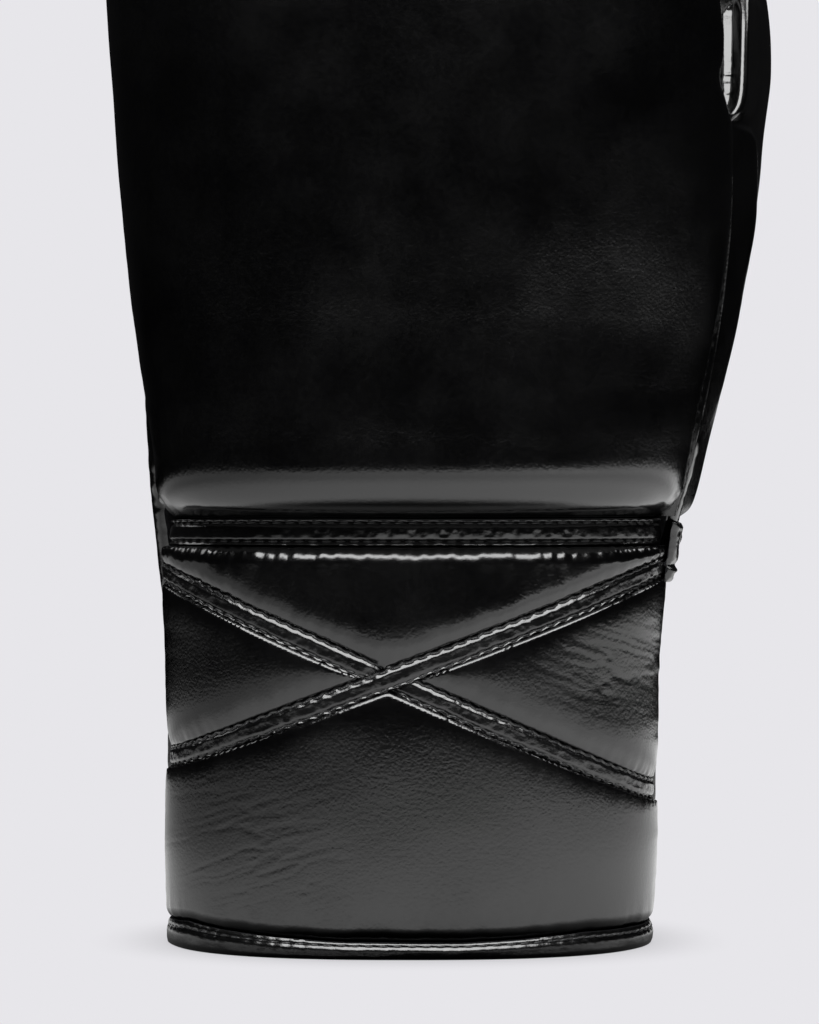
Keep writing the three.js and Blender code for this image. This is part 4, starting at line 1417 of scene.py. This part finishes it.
@dataclass
class Cuff:
    """The cuff's back: the quilted panel, the crossed straps, the wrist band and their stitches."""

    shop: Workshop
    columns: int = 280
    rows: int = 200
    binding_height: float = 5.0
    band_height: float = 6.4
    strap_width: float = 5.0
    strap_end: float = 2.0
    strap_lines: tuple[tuple[float, float], tuple[float, float]] = ((0.868, 0.367), (0.439, 0.875))
    crown: float = 0.9
    strap_level: float = -0.5
    fade_above: tuple[float, float] = (1.7, 3.4)
    fade_below: float = 2.0
    channel: float = -2.7
    band_depth: float = 1.2
    edge_depth: float = 2.2

    def build(self) -> None:
        """Builds and dresses all of the cuff's back."""
        form = self.shop.form
        lines = [self._strap_line(ends) for ends in self.strap_lines]
        low = float(form.cuff_place(self.binding_height))
        high = float(form.cuff_place(form.cuff_height - self.band_height))
        patch = Patch(low, high, form.pinky_seam, form.thumb_seam, low_wave=binding_wave(form))
        chart = chart_of(form, patch, self.columns, self.rows, focus=0.3)
        height = self._quilt(chart, lines)
        piece, _ = self.shop.panel("cuff_back_leather", chart, height, 5)
        self.shop.dress(piece, Slot.LEATHER, ["cuff_back"], fill=0.8)
        for name, line, over in (("strap_lower", lines[0], False), ("strap_upper", lines[1], True)):
            self._strap(name, line, over, lines)
        self._band()

    def _strap_line(self, ends: tuple[float, float]) -> SeamLine:
        """Gives a strap's middle line on the skin.

        Args:
            ends: The strap's heights at the pinky and the thumb side, as shares of the cuff's.

        Returns:
            The line.
        """
        form = self.shop.form
        share = np.linspace(0, 1, 520)
        place = np.full(share.shape, WRIST / 2)
        for _ in range(4):
            left = form.pinky_seam(place) + form.turn_for(self.strap_end, place, form.pinky_seam(place))
            right = form.thumb_seam(place) - form.turn_for(self.strap_end, place, form.thumb_seam(place))
            turn = left + (right - left) * share
            x = form.skin(place, turn)[..., 0]
            height = form.cuff_height * (ends[0] + (ends[1] - ends[0]) * (x / form.cuff_width + 0.5))
            place = form.cuff_place(height)
        return SeamLine(form.skin(place, turn), form.outwards(place, turn))

    def _quilt(self, chart: Chart, lines: Sequence[SeamLine]) -> Array:
        """Gives the quilted panel's height above the skin, on the chart's grid."""
        folds, dents = self.shop.folds, self.shop.dents
        up_left = chart.from_low[:, :1] + 0 * chart.from_low
        along_row = chart.from_left
        rises = [
            rise(chart.from_left, 7.0),
            rise(chart.from_right, 7.0),
            rise(chart.from_low, 3.0),
            rise(chart.from_high, 3.8),
        ]
        puffed = (0.2 + 0.8 * smooth_step(chart.from_left, 9.0, 26.0)) * smooth_step(chart.from_right, -2.0, 7.0)
        depths = [self.edge_depth, self.edge_depth, 0.8, self.band_depth * puffed]
        product = np.prod(rises, axis=0)
        dips = deepest(*[depth * (1 - r) for depth, r in zip(depths, rises)])
        height = self.crown * product - dips
        height += folds.at(along_row + 210, chart.from_high, 0.4, 3.0, size=2.6)
        height -= folds.pinch(along_row, chart.from_high, 0.6, 1.6)
        height += folds.at(along_row + 300, chart.from_low, 0.25, 3.0)
        height += folds.at(up_left + 20, chart.from_left, 0.3, 4.5)
        height += folds.at(up_left + 160, chart.from_right, 0.4, 5.5)
        p = chart.point
        height += 0.2 * dents.at(p[..., 0] / 30, p[..., 2] / 24, octaves=2) * product
        right_field = np.exp(-(((p[..., 0] - 46.0) / 18.0) ** 2) - ((p[..., 2] - 68.0) / 17.0) ** 2)
        height += 0.05 * (p[..., 2] - 68.0) * right_field * product
        for number, line in enumerate(lines):
            along, away = line.measure(chart.point)
            off = np.abs(away) - self.strap_width / 2
            outside = np.maximum(off, 0.0)
            upper = smooth_step(p[..., 2], 58.0, 72.0)
            above = self.fade_above[1] + (self.fade_above[0] - self.fade_above[1]) * upper
            fade = np.where(away > 0, above, self.fade_below)
            near = np.exp(-outside / fade)
            share = np.where(away > 0, 1.0, 0.28)
            height = height + (self.strap_level - height) * near * share
            height += share * folds.at(along + 70 * number + 20 * np.sign(away), outside, 0.2, 2.2, size=2.2)
            height -= share * folds.pinch(along, outside, 0.25, 1.2)
            height += (self.channel - height) * (1 - smooth_step(off, -0.5, 0.1))
            product = product * (1 - near)
        wrinkled = np.exp(-(((p[..., 0] - 44) / 16) ** 2) - ((p[..., 2] - 66) / 12) ** 2)
        wrinkled += 0.8 * np.exp(-(((p[..., 0] + 36) / 20) ** 2) - ((p[..., 2] - 24) / 16) ** 2)
        slanted = p[..., 2] + 0.35 * p[..., 0] * np.sign(p[..., 0] - 10)
        creases = dents.at(p[..., 0] / 10, slanted / 1.8, octaves=3)
        height -= 0.06 * wrinkled * np.exp(-((creases / 0.12) ** 2)) * product
        return height

    def _strap(self, name: str, line: SeamLine, over: bool, lines: Sequence[SeamLine]) -> None:
        """Builds one strap and its two rows of stitches.

        Args:
            name: The strap's name.
            line: Its middle line.
            over: True for the strap that passes over the other.
            lines: Both straps' lines.
        """
        form, folds, dents = self.shop.form, self.shop.folds, self.shop.dents
        length, width = line.length(), self.strap_width
        along = np.linspace(0, length, 481)
        across = np.linspace(-1, 1, 17)
        middle, ahead, out = line.at(along)
        side = np.cross(out, ahead)
        other = lines[0] if over else lines[1]
        _, gap = other.measure(middle)
        crossing = np.exp(-((gap / 3.6) ** 2))
        s, c = np.meshgrid(along, across * width / 2, indexing="ij")
        edge = 1 + 0.07 * np.cos(2 * math.pi * s / self.shop.thread.pitch)
        edge = edge + 0.06 * dents.at(s / 5, np.sign(c) * 3.3)
        rows = np.exp(-(((np.abs(c) - 1.75) / 0.38) ** 2))
        top = -0.25 - 0.45 * rows - 0.6 * smooth_step(np.abs(c), 2.1, 2.5)
        top = top - 0.15 * rows * (0.5 + 0.5 * np.cos(2 * math.pi * s / self.shop.thread.pitch))
        top = top + 0.14 * dents.at(s / 1.5 + 31 * over, c / 1.6, octaves=2)
        top = top + crossing[:, None] * (0.5 if over else -1.0)
        bottom = np.minimum(top - 0.8, -2.4 + (1.2 * crossing[:, None] if over else 0.0))
        lay = lambda height, at: (
            middle[:, None] + side[:, None] * at[..., None] + out[:, None] * height[..., None]
        )
        outer = lay(top, c * edge).transpose(1, 0, 2)
        inner = lay(bottom, c * 0.92).transpose(1, 0, 2)[::4, ::8]
        piece = closed_panel(name, form.to_frame(outer), form.to_frame(inner))
        self.shop.dress(piece, Slot.TRIM, ["crossed_straps"])
        for row, offset in (("low", 2), ("high", 14)):
            stitches = SeamLine(outer[offset] + out * 0.12, out)
            self.shop.sew(f"stitches_{name}_{row}", stitches, start=0.5)

    def _band(self) -> None:
        """Builds the wrist band and its two rows of stitches."""
        form, folds, dents = self.shop.form, self.shop.folds, self.shop.dents
        low = float(form.cuff_place(form.cuff_height - self.band_height))
        chart = chart_of(form, Patch(low, WRIST, form.pinky_seam, form.thumb_seam), 330, 24, focus=0.0)
        share = chart.from_low / (chart.from_low + chart.from_high)
        along = chart.from_left
        rows = np.exp(-(((share - 0.13) / 0.07) ** 2)) + np.exp(-(((share - 0.84) / 0.07) ** 2))
        middle = np.exp(-(((chart.point[..., 0] - 12.0) / 34.0) ** 2))
        height = -1.7 + (0.2 + 0.35 * middle) * np.sin(math.pi * share) - 0.5 * rows
        height += 0.45 * np.exp(-(((share - 0.93) / 0.07) ** 2))
        crumple = dents.at(along / 0.9, share * 4.5, octaves=2) * np.sin(math.pi * share) ** 0.5
        height += (0.06 + 0.22 * middle) * crumple
        height -= 1.3 * share * (1 - 0.35 * middle)
        height -= 0.35 * rows * (0.5 + 0.5 * np.cos(2 * math.pi * along / self.shop.thread.pitch))
        ends = np.minimum(chart.from_left, chart.from_right)
        height -= 1.2 * np.exp(-ends / 3.0)
        piece, outer = self.shop.panel("wrist_band_leather", chart, height, 3)
        self.shop.dress(piece, Slot.TRIM, ["wrist_band"])
        for name, row in (("stitches_band_low", 3), ("stitches_band_high", 20)):
            self.shop.sew(name, SeamLine(outer[row, 4:-4], chart.out[row, 4:-4]))


def binding_wave(form: GloveForm) -> Callable[[Array], Array]:
    """Gives how the binding's upper edge waves round the back of the cuff.

    Args:
        form: The glove's form.

    Returns:
        A function of turns that gives places to add to the seam's own place.
    """
    turns = np.radians((-180, -110, -90, -62, -44, -28, -12, 8, 24, 40, 62, 90, 110, 180))
    heights = np.array((0.0, 0.0, 0.4, 1.7, 0.7, -0.2, -0.9, -1.1, -0.4, 0.4, 0.4, 0.1, 0.0, 0.0))

    def wave(turn: Array) -> Array:
        """Gives the wave at the given turns."""
        around = (turn + HALF_TURN) % (2 * HALF_TURN) - HALF_TURN
        return form.cuff_place(np.interp(around, turns, heights))

    return wave


@dataclass
class PalmSide:
    """The palm side of the cuff: two flaps beside the lacing slit, the tongue and the eyelets."""

    shop: Workshop
    slit_width: float = 10.0
    pairs: int = 6
    eyelet_radius: float = 4.4
    hole_radius: float = 2.3
    flange: float = 0.9
    inset: float = 10.0
    first: float = 16.0
    last: float = 12.0
    crown: float = 0.4
    clearance: float = 0.35
    tongue_width: float = 40.0
    tongue_thickness: float = 3.0
    columns: int = 130
    rows: int = 200

    def build(self) -> None:
        """Builds and dresses the flaps, the tongue and the eyelets."""
        form = self.shop.form
        low = float(form.cuff_place(5.0))
        slit = lambda place: form.back_turn(place, np.full(np.shape(place), self.slit_width / 2))
        sides = {
            "thumb": (-1, form.thumb_seam, lambda place: HALF_TURN - slit(place)),
            "pinky": (1, lambda place: HALF_TURN + slit(place), lambda p: 2 * HALF_TURN + form.pinky_seam(p)),
        }
        for side, (sign, left, right) in sides.items():
            chart = chart_of(form, Patch(low, FLAP_TOP, left, right), self.columns, self.rows, focus=0.3)
            eyelets = [self._eyelet_seat(sign, i) for i in range(self.pairs)]
            height = self._flap_height(chart, sign, [centre for centre, _ in eyelets])
            name = f"cuff_flap_{side}_side"
            piece, outer = self.shop.panel(name + "_leather", chart, height, 5)
            self._drill(piece, eyelets)
            self.shop.dress(piece, Slot.LEATHER, [name], fill=0.6)
            self._sew(side, sign, chart, outer)
            for i, (centre, axis) in enumerate(eyelets):
                self._eyelet(side, i, centre, axis)
        self._tongue(low)

    def _eyelet_seat(self, sign: int, i: int) -> tuple[Array, Array]:
        """Gives an eyelet's centre on the skin and its axis out of the flap."""
        form = self.shop.form
        top = form.palm_at(np.array(FLAP_TOP))[2] - self.last
        height = self.first + (top - self.first) * i / (self.pairs - 1)
        place = np.array(form.palm_place(height))
        turn = HALF_TURN - form.back_turn(place, -sign * (self.slit_width / 2 + self.inset))
        return form.skin(place, turn), form.outwards(place, turn)

    def _flap_height(self, chart: Chart, sign: int, centres: Sequence[Array]) -> Array:
        """Gives a flap's height above the skin, on the chart's grid."""
        folds, dents = self.shop.folds, self.shop.dents
        up = chart.from_low[:, :1] + 0 * chart.from_low
        slit, seam = (chart.from_right, chart.from_left) if sign < 0 else (chart.from_left, chart.from_right)
        rises = [rise(seam, 7.0), rise(slit, 4.0), rise(chart.from_low, 5.0), rise(chart.from_high, 5.0)]
        depths = [2.4, 2.0, 1.5, 2.4]
        product = np.prod(rises, axis=0)
        height = self.crown * product - deepest(*[d * (1 - r) for d, r in zip(depths, rises)])
        height += folds.at(up + 50 * sign, seam, 0.4, 4.5)
        height += folds.at(chart.from_left + 80, chart.from_high, 0.3, 3.5)
        height -= folds.pinch(up, slit - 3.2, 0.3)
        row = np.exp(-(((slit - 3.2) / 0.8) ** 2)) + np.exp(-(((slit - 18.5) / 0.8) ** 2))
        height -= 0.35 * row
        p = chart.point
        height += 0.3 * dents.at(p[..., 0] / 22, p[..., 2] / 22, octaves=2) * product
        for centre in centres:
            away = np.linalg.norm(p - centre, axis=-1)
            height -= 0.3 * np.exp(-(((away - self.eyelet_radius) / 1.6).clip(0) ** 2))
        return height

    def _drill(self, piece: bpy.types.Object, eyelets: Sequence[tuple[Array, Array]]) -> None:
        """Cuts the eyelets' holes through a flap."""
        form = self.shop.form
        radius = (self.hole_radius + self.flange + self.clearance) * MM
        mesh = bmesh.new()
        for centre, axis in eyelets:
            turned = Vector(axis).to_track_quat("Z", "Y").to_matrix().to_4x4()
            matrix = Matrix.Translation(form.to_frame(centre)) @ turned
            bmesh.ops.create_cone(
                mesh,
                cap_ends=True,
                segments=32,
                radius1=radius,
                radius2=radius,
                depth=self.shop.form.cuff_palm_wall * 4 * MM,
                matrix=matrix,
            )
        cutter = scene_object("eyelet_cutter", mesh)
        cut = piece.modifiers.new("holes", "BOOLEAN")
        cut.operation = "DIFFERENCE"
        cut.object = cutter
        cut.solver = "EXACT"
        seen = piece.evaluated_get(bpy.context.evaluated_depsgraph_get())
        drilled = bpy.data.meshes.new_from_object(seen)
        piece.modifiers.clear()
        piece.data = drilled
        bpy.data.objects.remove(cutter)
        shade(piece)

    def _sew(self, side: str, sign: int, chart: Chart, outer: Array) -> None:
        """Sews the two rows of stitches beside the slit."""
        slit = chart.from_right if sign < 0 else chart.from_left
        rows = np.arange(3, len(outer) - 3)
        for name, inset in (("edge", 3.2), ("facing", 18.5)):
            column = np.abs(slit - inset).argmin(axis=1)[rows]
            line = SeamLine(outer[rows, column], chart.out[rows, column])
            self.shop.sew(f"stitches_flap_{side}_{name}", line)

    def _eyelet(self, side: str, i: int, centre: Array, axis: Array) -> None:
        """Spins one eyelet and seats it in its hole."""
        form = self.shop.form
        inner, outer = self.hole_radius, self.hole_radius + self.flange
        seat = self.crown + self.clearance
        low = -form.cuff_palm_wall * 0.6
        profile = [
            (outer, low),
            (outer, seat),
            (self.eyelet_radius, seat),
            (self.eyelet_radius, seat + 0.35),
            (outer + 0.3, seat + 1.0),
            (inner + 0.3, seat + 0.95),
            (inner, seat + 0.4),
            (inner, low),
        ]
        mesh = bmesh.new()
        vertices = [mesh.verts.new((r * MM, 0.0, z * MM)) for r, z in profile]
        edges = [mesh.edges.new(pair) for pair in zip(vertices, vertices[1:] + vertices[:1])]
        bmesh.ops.spin(
            mesh,
            geom=vertices + edges,
            axis=(0, 0, 1),
            cent=(0, 0, 0),
            angle=2 * math.pi,
            steps=40,
            use_merge=True,
        )
        bmesh.ops.remove_doubles(mesh, verts=mesh.verts[:], dist=1e-7)
        bmesh.ops.recalc_face_normals(mesh, faces=mesh.faces[:])
        turned = Vector(axis).to_track_quat("Z", "Y").to_matrix().to_4x4()
        bmesh.ops.transform(mesh, matrix=Matrix.Translation(form.to_frame(centre)) @ turned, verts=mesh.verts[:])
        piece = scene_object(f"eyelet_ring_{side}_side_{i + 1}", mesh)
        shade(piece, 40.0)
        self.shop.dress(piece, Slot.METAL, [f"eyelet_{side}_side_{i + 1}"])

    def _tongue(self, low: float) -> None:
        """Builds the tongue behind the slit."""
        form, dents = self.shop.form, self.shop.dents
        place = np.linspace(low, FLAP_TOP + 0.4, 161)[:, None]
        x = self.tongue_width * (0.5 - np.linspace(0, 1, 61))[None]
        turn = HALF_TURN - form.back_turn(place, x + 0 * place)
        share = np.abs(x / self.tongue_width) * 2
        rounded = 0.9 * (1 - np.sqrt(1 - np.clip(share, 0, 1) ** 6))
        outer = form.lining(place, turn, 0.5)
        inner = form.lining(place, turn, 0.5 + self.tongue_thickness)
        inwards = (inner - outer) / self.tongue_thickness
        bumpy = 0.25 * dents.at(outer[..., 0] / 12, outer[..., 2] / 12, octaves=2)
        outer = outer + inwards * (rounded + np.abs(bumpy))[..., None]
        piece = closed_panel("tongue_leather", form.to_frame(outer), form.to_frame(inner[::4, ::4]))
        self.shop.dress(piece, Slot.LEATHER, ["tongue"], fill=0.5)


@dataclass
class Trim:
    """The binding round the cuff's foot, the piping in its side seams and the thumb side's tab."""

    shop: Workshop
    binding_height: float = 5.0
    proud: float = 0.95
    piping_radius: float = 1.1
    piping_sunk: float = 0.7
    tab_length: float = 17.0
    tab_width: float = 10.5
    band_height: float = 6.4

    def build(self) -> None:
        """Builds and dresses all of the trim."""
        form = self.shop.form
        self._binding()
        self._piping("piping_thumb_side", form.thumb_seam)
        self._piping("piping_pinky_side", form.pinky_seam)
        self._tab()

    def _binding(self) -> None:
        """Builds the binding and its stitches."""
        form, folds, dents = self.shop.form, self.shop.folds, self.shop.dents
        around, up = 720, 16
        half = HALF_TURN - form.back_turn(np.array(0.0), np.array(5.0))
        many = np.linspace(-half, half, 3000)
        reach = arc_lengths(form.skin(np.array(0.1), many))
        turn = np.interp(np.linspace(0, reach[-1], around + 1), reach, many)[None]
        along = np.linspace(0, reach[-1], around + 1)[None]
        v = np.linspace(0, 1, up + 1)[:, None]
        top = self.binding_height - form.seam_gap / 2 + binding_wave(form)(turn) / form.cuff_place(1.0)
        level = top * np.interp(v, (0, 0.12, 0.3, 1), (0, 0.04, 0.2, 1))
        bulge = np.interp(v, (0, 0.12, 0.3, 0.6, 0.85, 1), (0.1, 0.75, 1.0, 1.0, 0.75, 0.1))
        height = bulge * self.proud
        sewn = np.exp(-(((v - 0.8) / 0.07) ** 2))
        height = height - 0.25 * sewn - folds.pinch(along, (v - 0.8) * top, 0.22, 0.8)
        height = height + 0.22 * dents.at(along / 9, v * 1.5, octaves=3) * np.sin(math.pi * v) ** 0.5
        place = form.cuff_place(level)
        outer = form.on_skin(place, turn + 0 * place, height)
        outer[0, :, 2] = 0.0
        inner = form.lining(place, turn + 0 * place, 0.6)
        inner[0, :, 2] = 0.0
        inner = inner[::4, ::6]
        piece = closed_panel("cuff_binding_leather", form.to_frame(outer), form.to_frame(inner))
        self.shop.dress(piece, Slot.TRIM, ["cuff_binding"])
        row = 13
        line = SeamLine(outer[row], form.outwards(place, turn + 0 * place)[row])
        self.shop.sew("stitches_binding", line)

    def _piping(self, name: str, seam: TurnAt) -> None:
        """Builds the piping in one side seam.

        Args:
            name: The node's name.
            seam: The seam's turns.
        """
        form, dents = self.shop.form, self.shop.dents
        low = float(form.cuff_place(self.binding_height + 0.9))
        high = float(form.cuff_place(form.cuff_height - self.band_height - self.tab_length / 2))
        place = np.linspace(low, high, 141)
        middle = form.on_skin(place, seam(place), np.full(place.shape, -self.piping_sunk))
        out = form.outwards(place, seam(place))
        ahead = np.gradient(middle, axis=0)
        ahead /= np.linalg.norm(ahead, axis=-1, keepdims=True)
        side = np.cross(out, ahead)
        angle = np.linspace(0, 2 * math.pi, 21)[:-1]
        ends = np.sin(np.linspace(0, math.pi, len(place))).clip(0, 0.2) / 0.2
        ends = np.sqrt(1 - (1 - ends) ** 2)
        uneven = 1 + 0.12 * dents.at(np.linspace(0, 30, len(place)))
        radius = self.piping_radius * ends * uneven
        ring = side[:, None] * np.cos(angle)[None, :, None] + out[:, None] * np.sin(angle)[None, :, None]
        rings = middle[:, None] + ring * radius[:, None, None]
        piece = closed_tube(name + "_leather", form.to_frame(rings))
        self.shop.dress(piece, Slot.TRIM, [name])

    def _tab(self) -> None:
        """Builds the folded tab over the top of the thumb side's seam."""
        form, dents = self.shop.form, self.shop.dents
        low = float(form.cuff_place(form.cuff_height - self.band_height - self.tab_length / 2 + 0.3))
        place = np.linspace(low, WRIST - 0.01, 81)[:, None]
        width = form.turn_for(self.tab_width / 2, place, form.thumb_seam(place))
        u = np.linspace(-1, 1, 41)[None]
        turn = form.thumb_seam(place) + width * u
        share = np.linspace(0, 1, 81)[:, None]
        edge = (1 - np.abs(u) ** 6) * np.sin(math.pi * share).clip(0, 0.25) / 0.25
        fold = 0.6 * np.exp(-(((share - 0.2) / 0.05) ** 2)) - 0.5 * np.exp(-(((share - 0.28) / 0.05) ** 2))
        height = 0.35 + 1.4 * edge**0.4 + fold + 0.4 * dents.at(share * 7, u * 1.5, octaves=2)
        outer = form.on_skin(place + 0 * u, turn, height)
        inner = form.on_skin(place + 0 * u, turn, 0.25 + 0 * height)[::4, ::4]
        piece = closed_panel("side_tab_leather", form.to_frame(outer), form.to_frame(inner))
        self.shop.dress(piece, Slot.TRIM, ["side_tab"])


@dataclass(frozen=True)
class Softbox:
    """A rectangular studio light."""

    name: str
    place: tuple[float, float, float]
    aim: tuple[float, float, float]
    size: tuple[float, float]
    power: float

    def light(self) -> None:
        """Adds the light to the scene, unseen by the camera itself."""
        data = bpy.data.lights.new(self.name, "AREA")
        data.shape = "RECTANGLE"
        data.size, data.size_y = self.size
        data.energy = self.power
        made = bpy.data.objects.new(self.name, data)
        made.location = self.place
        made.rotation_euler = (Vector(self.aim) - Vector(self.place)).to_track_quat("-Z", "Y").to_euler()
        made.visible_camera = False
        bpy.context.scene.collection.objects.link(made)


@dataclass
class Studio:
    """The pale floor and backdrop, the lights and the camera."""

    form: GloveForm
    pale: tuple[float, float, float] = (0.799, 0.791, 0.823)
    dark: tuple[float, float, float] = (0.006, 0.006, 0.0063)
    camera_distance: float = 850.0
    camera_height: float = 100.0
    lens: float = 127.3
    floor_reach: float = 6.0
    # Painted glow of the floor, seen only in reflections: emission strength by distance from the glove.
    floor_glow: tuple[tuple[float, float], ...] = (
        (0.05, 0.0),
        (0.062, 0.15),
        (0.085, 0.95),
        (0.2, 0.95),
        (0.32, 0.6),
        (0.5, 0.85),
        (0.62, 0.7),
        (0.78, 0.0),
    )
    glow_sides: tuple[float, float] = (0.5, 1.5)
    softboxes: tuple[Softbox, ...] = (
        Softbox("top_front", (0.0, -0.6, 0.94), (0.0, -0.05, 0.1), (1.3, 0.92), 25.0),
        Softbox("overhead", (0.0, 0.25, 1.2), (0.0, 0.0, 0.1), (0.9, 0.6), 4.0),
        Softbox("right_high", (0.75, 0.25, 0.95), (0.0, 0.0, 0.15), (0.4, 0.35), 1.7),
        Softbox("left_high", (-0.9, 0.4, 0.75), (0.0, 0.0, 0.15), (0.5, 0.4), 1.2),
        Softbox("back_rim", (0.15, 1.5, 0.2), (0.0, 0.0, 0.15), (0.3, 0.5), 0.24),
    )

    def build(self) -> None:
        """Builds the whole studio."""
        self._floor()
        self._world()
        for softbox in self.softboxes:
            softbox.light()
        self._camera()

    def _floor(self) -> None:
        """Builds the pale floor: even pale emission with a painted contact shadow for the camera, and a painted glow
        in a wide round patch under the glove for reflections.
        """
        mesh = bmesh.new()
        bmesh.ops.create_grid(mesh, x_segments=1, y_segments=1, size=self.floor_reach)
        floor = scene_object("floor", mesh)
        material = bpy.data.materials.new("pale_floor")
        material.use_nodes = True
        tree = NodeTree(material.node_tree)
        links = material.node_tree.links
        place = tree.node("TexCoord").outputs["Object"]
        away = tree.node("VectorMath", {0: place, 1: tuple(self.form.origin)}, operation="DISTANCE")
        # Painted glow: the floor emits by distance from the glove, stronger towards +X, for non-camera rays only.
        ramp = tree.node("ValToRGB", {"Fac": away.outputs["Value"]})
        stops = ramp.color_ramp.elements
        while len(stops) < len(self.floor_glow):
            stops.new(1.0)
        for stop, (reach, glow) in zip(stops, self.floor_glow):
            stop.position = reach
            stop.color = (glow, glow, glow, 1.0)
        sideways = tree.node("SeparateXYZ", {"Vector": place}).outputs["X"]
        sided = tree.spread(sideways, -0.35, 0.35, self.glow_sides)
        painted_floor_glow = tree.node("Emission", {"Color": ramp.outputs["Color"], "Strength": sided})
        # Painted contact shadow: ambient occlusion darkens the floor's emission next to the glove.
        corner = tree.node("AmbientOcclusion", {"Distance": 0.02}, samples=8)
        painted_contact_shadow = tree.spread(corner.outputs["AO"], 0.35, 0.95, (0.72, 1.0))
        surface = tree.node("Emission", {"Color": (*self.pale, 1.0), "Strength": painted_contact_shadow})
        seen = tree.node("LightPath").outputs["Is Camera Ray"]
        mixed = tree.node("MixShader", {0: seen, 1: painted_floor_glow.outputs[0], 2: surface.outputs[0]})
        links.new(mixed.outputs[0], material.node_tree.nodes["Material Output"].inputs["Surface"])
        floor.data.materials.append(material)

    def _world(self) -> None:
        """Makes the surroundings pale where the camera looks past the glove, and dark elsewhere."""
        world = bpy.data.worlds.new("studio")
        bpy.context.scene.world = world
        world.use_nodes = True
        tree = NodeTree(world.node_tree)
        background = world.node_tree.nodes["Background"]
        seen = tree.node("LightPath").outputs["Is Camera Ray"]
        mixed = tree.node("Mix", data_type="RGBA")
        world.node_tree.links.new(seen, mixed.inputs["Factor"])
        mixed.inputs[6].default_value = (*self.dark, 1.0)
        mixed.inputs[7].default_value = (*self.pale, 1.0)
        world.node_tree.links.new(mixed.outputs[2], background.inputs["Color"])
        bpy.context.scene.view_settings.view_transform = "Standard"

    def _camera(self) -> None:
        """Sets the camera level in front of the cuff."""
        data = bpy.data.cameras.new("camera")
        data.lens = self.lens
        data.sensor_width = 36.0
        data.clip_start = 0.01
        made = bpy.data.objects.new("camera", data)
        made.location = self.form.to_frame(np.array((0.0, -self.camera_distance, self.camera_height)))
        made.rotation_euler = (math.radians(90), 0.0, 0.0)
        bpy.context.scene.collection.objects.link(made)
        bpy.context.scene.camera = made


def write_sizes() -> None:
    bpy.context.view_layer.update()


def main() -> None:
    """Builds the glove, then the studio round it."""
    logging.basicConfig(level=logging.INFO, format="%(name)s: %(message)s")
    form = GloveForm()
    grain, wear = leather_grain_group(), wear_group()
    leather = LeatherFinish(
        name="black_leather",
        colour=(0.0005, 0.0005, 0.0006),
        worn_colour=(0.0009, 0.0009, 0.001),
        smooth=0.15,
        rough=0.21,
        specular=1.0,
        grain_depth=0.00002,
    )
    trim = LeatherFinish(
        name="black_trim_leather",
        colour=(0.0006, 0.0006, 0.0007),
        worn_colour=(0.001, 0.001, 0.0012),
        smooth=0.2,
        rough=0.26,
        specular=1.0,
        grain_depth=0.00003,
        pebbles=1500.0,
        creases=420.0,
    )
    shop = Workshop(
        form=form,
        leather=leather.material(grain, wear),
        trim=trim.material(grain, wear),
        metal=MetalFinish().material(wear),
        thread_finish=ThreadFinish().material(),
        lining=LiningFinish().material(),
    )
    Studio(form).build()
    mitt = Mitt(shop)
    mitt.build()
    ThumbPiece(shop, mitt.surfaces).build()
    Cuff(shop).build()
    PalmSide(shop).build()
    Trim(shop).build()
    write_sizes()


if __name__ == "__main__":
    main()
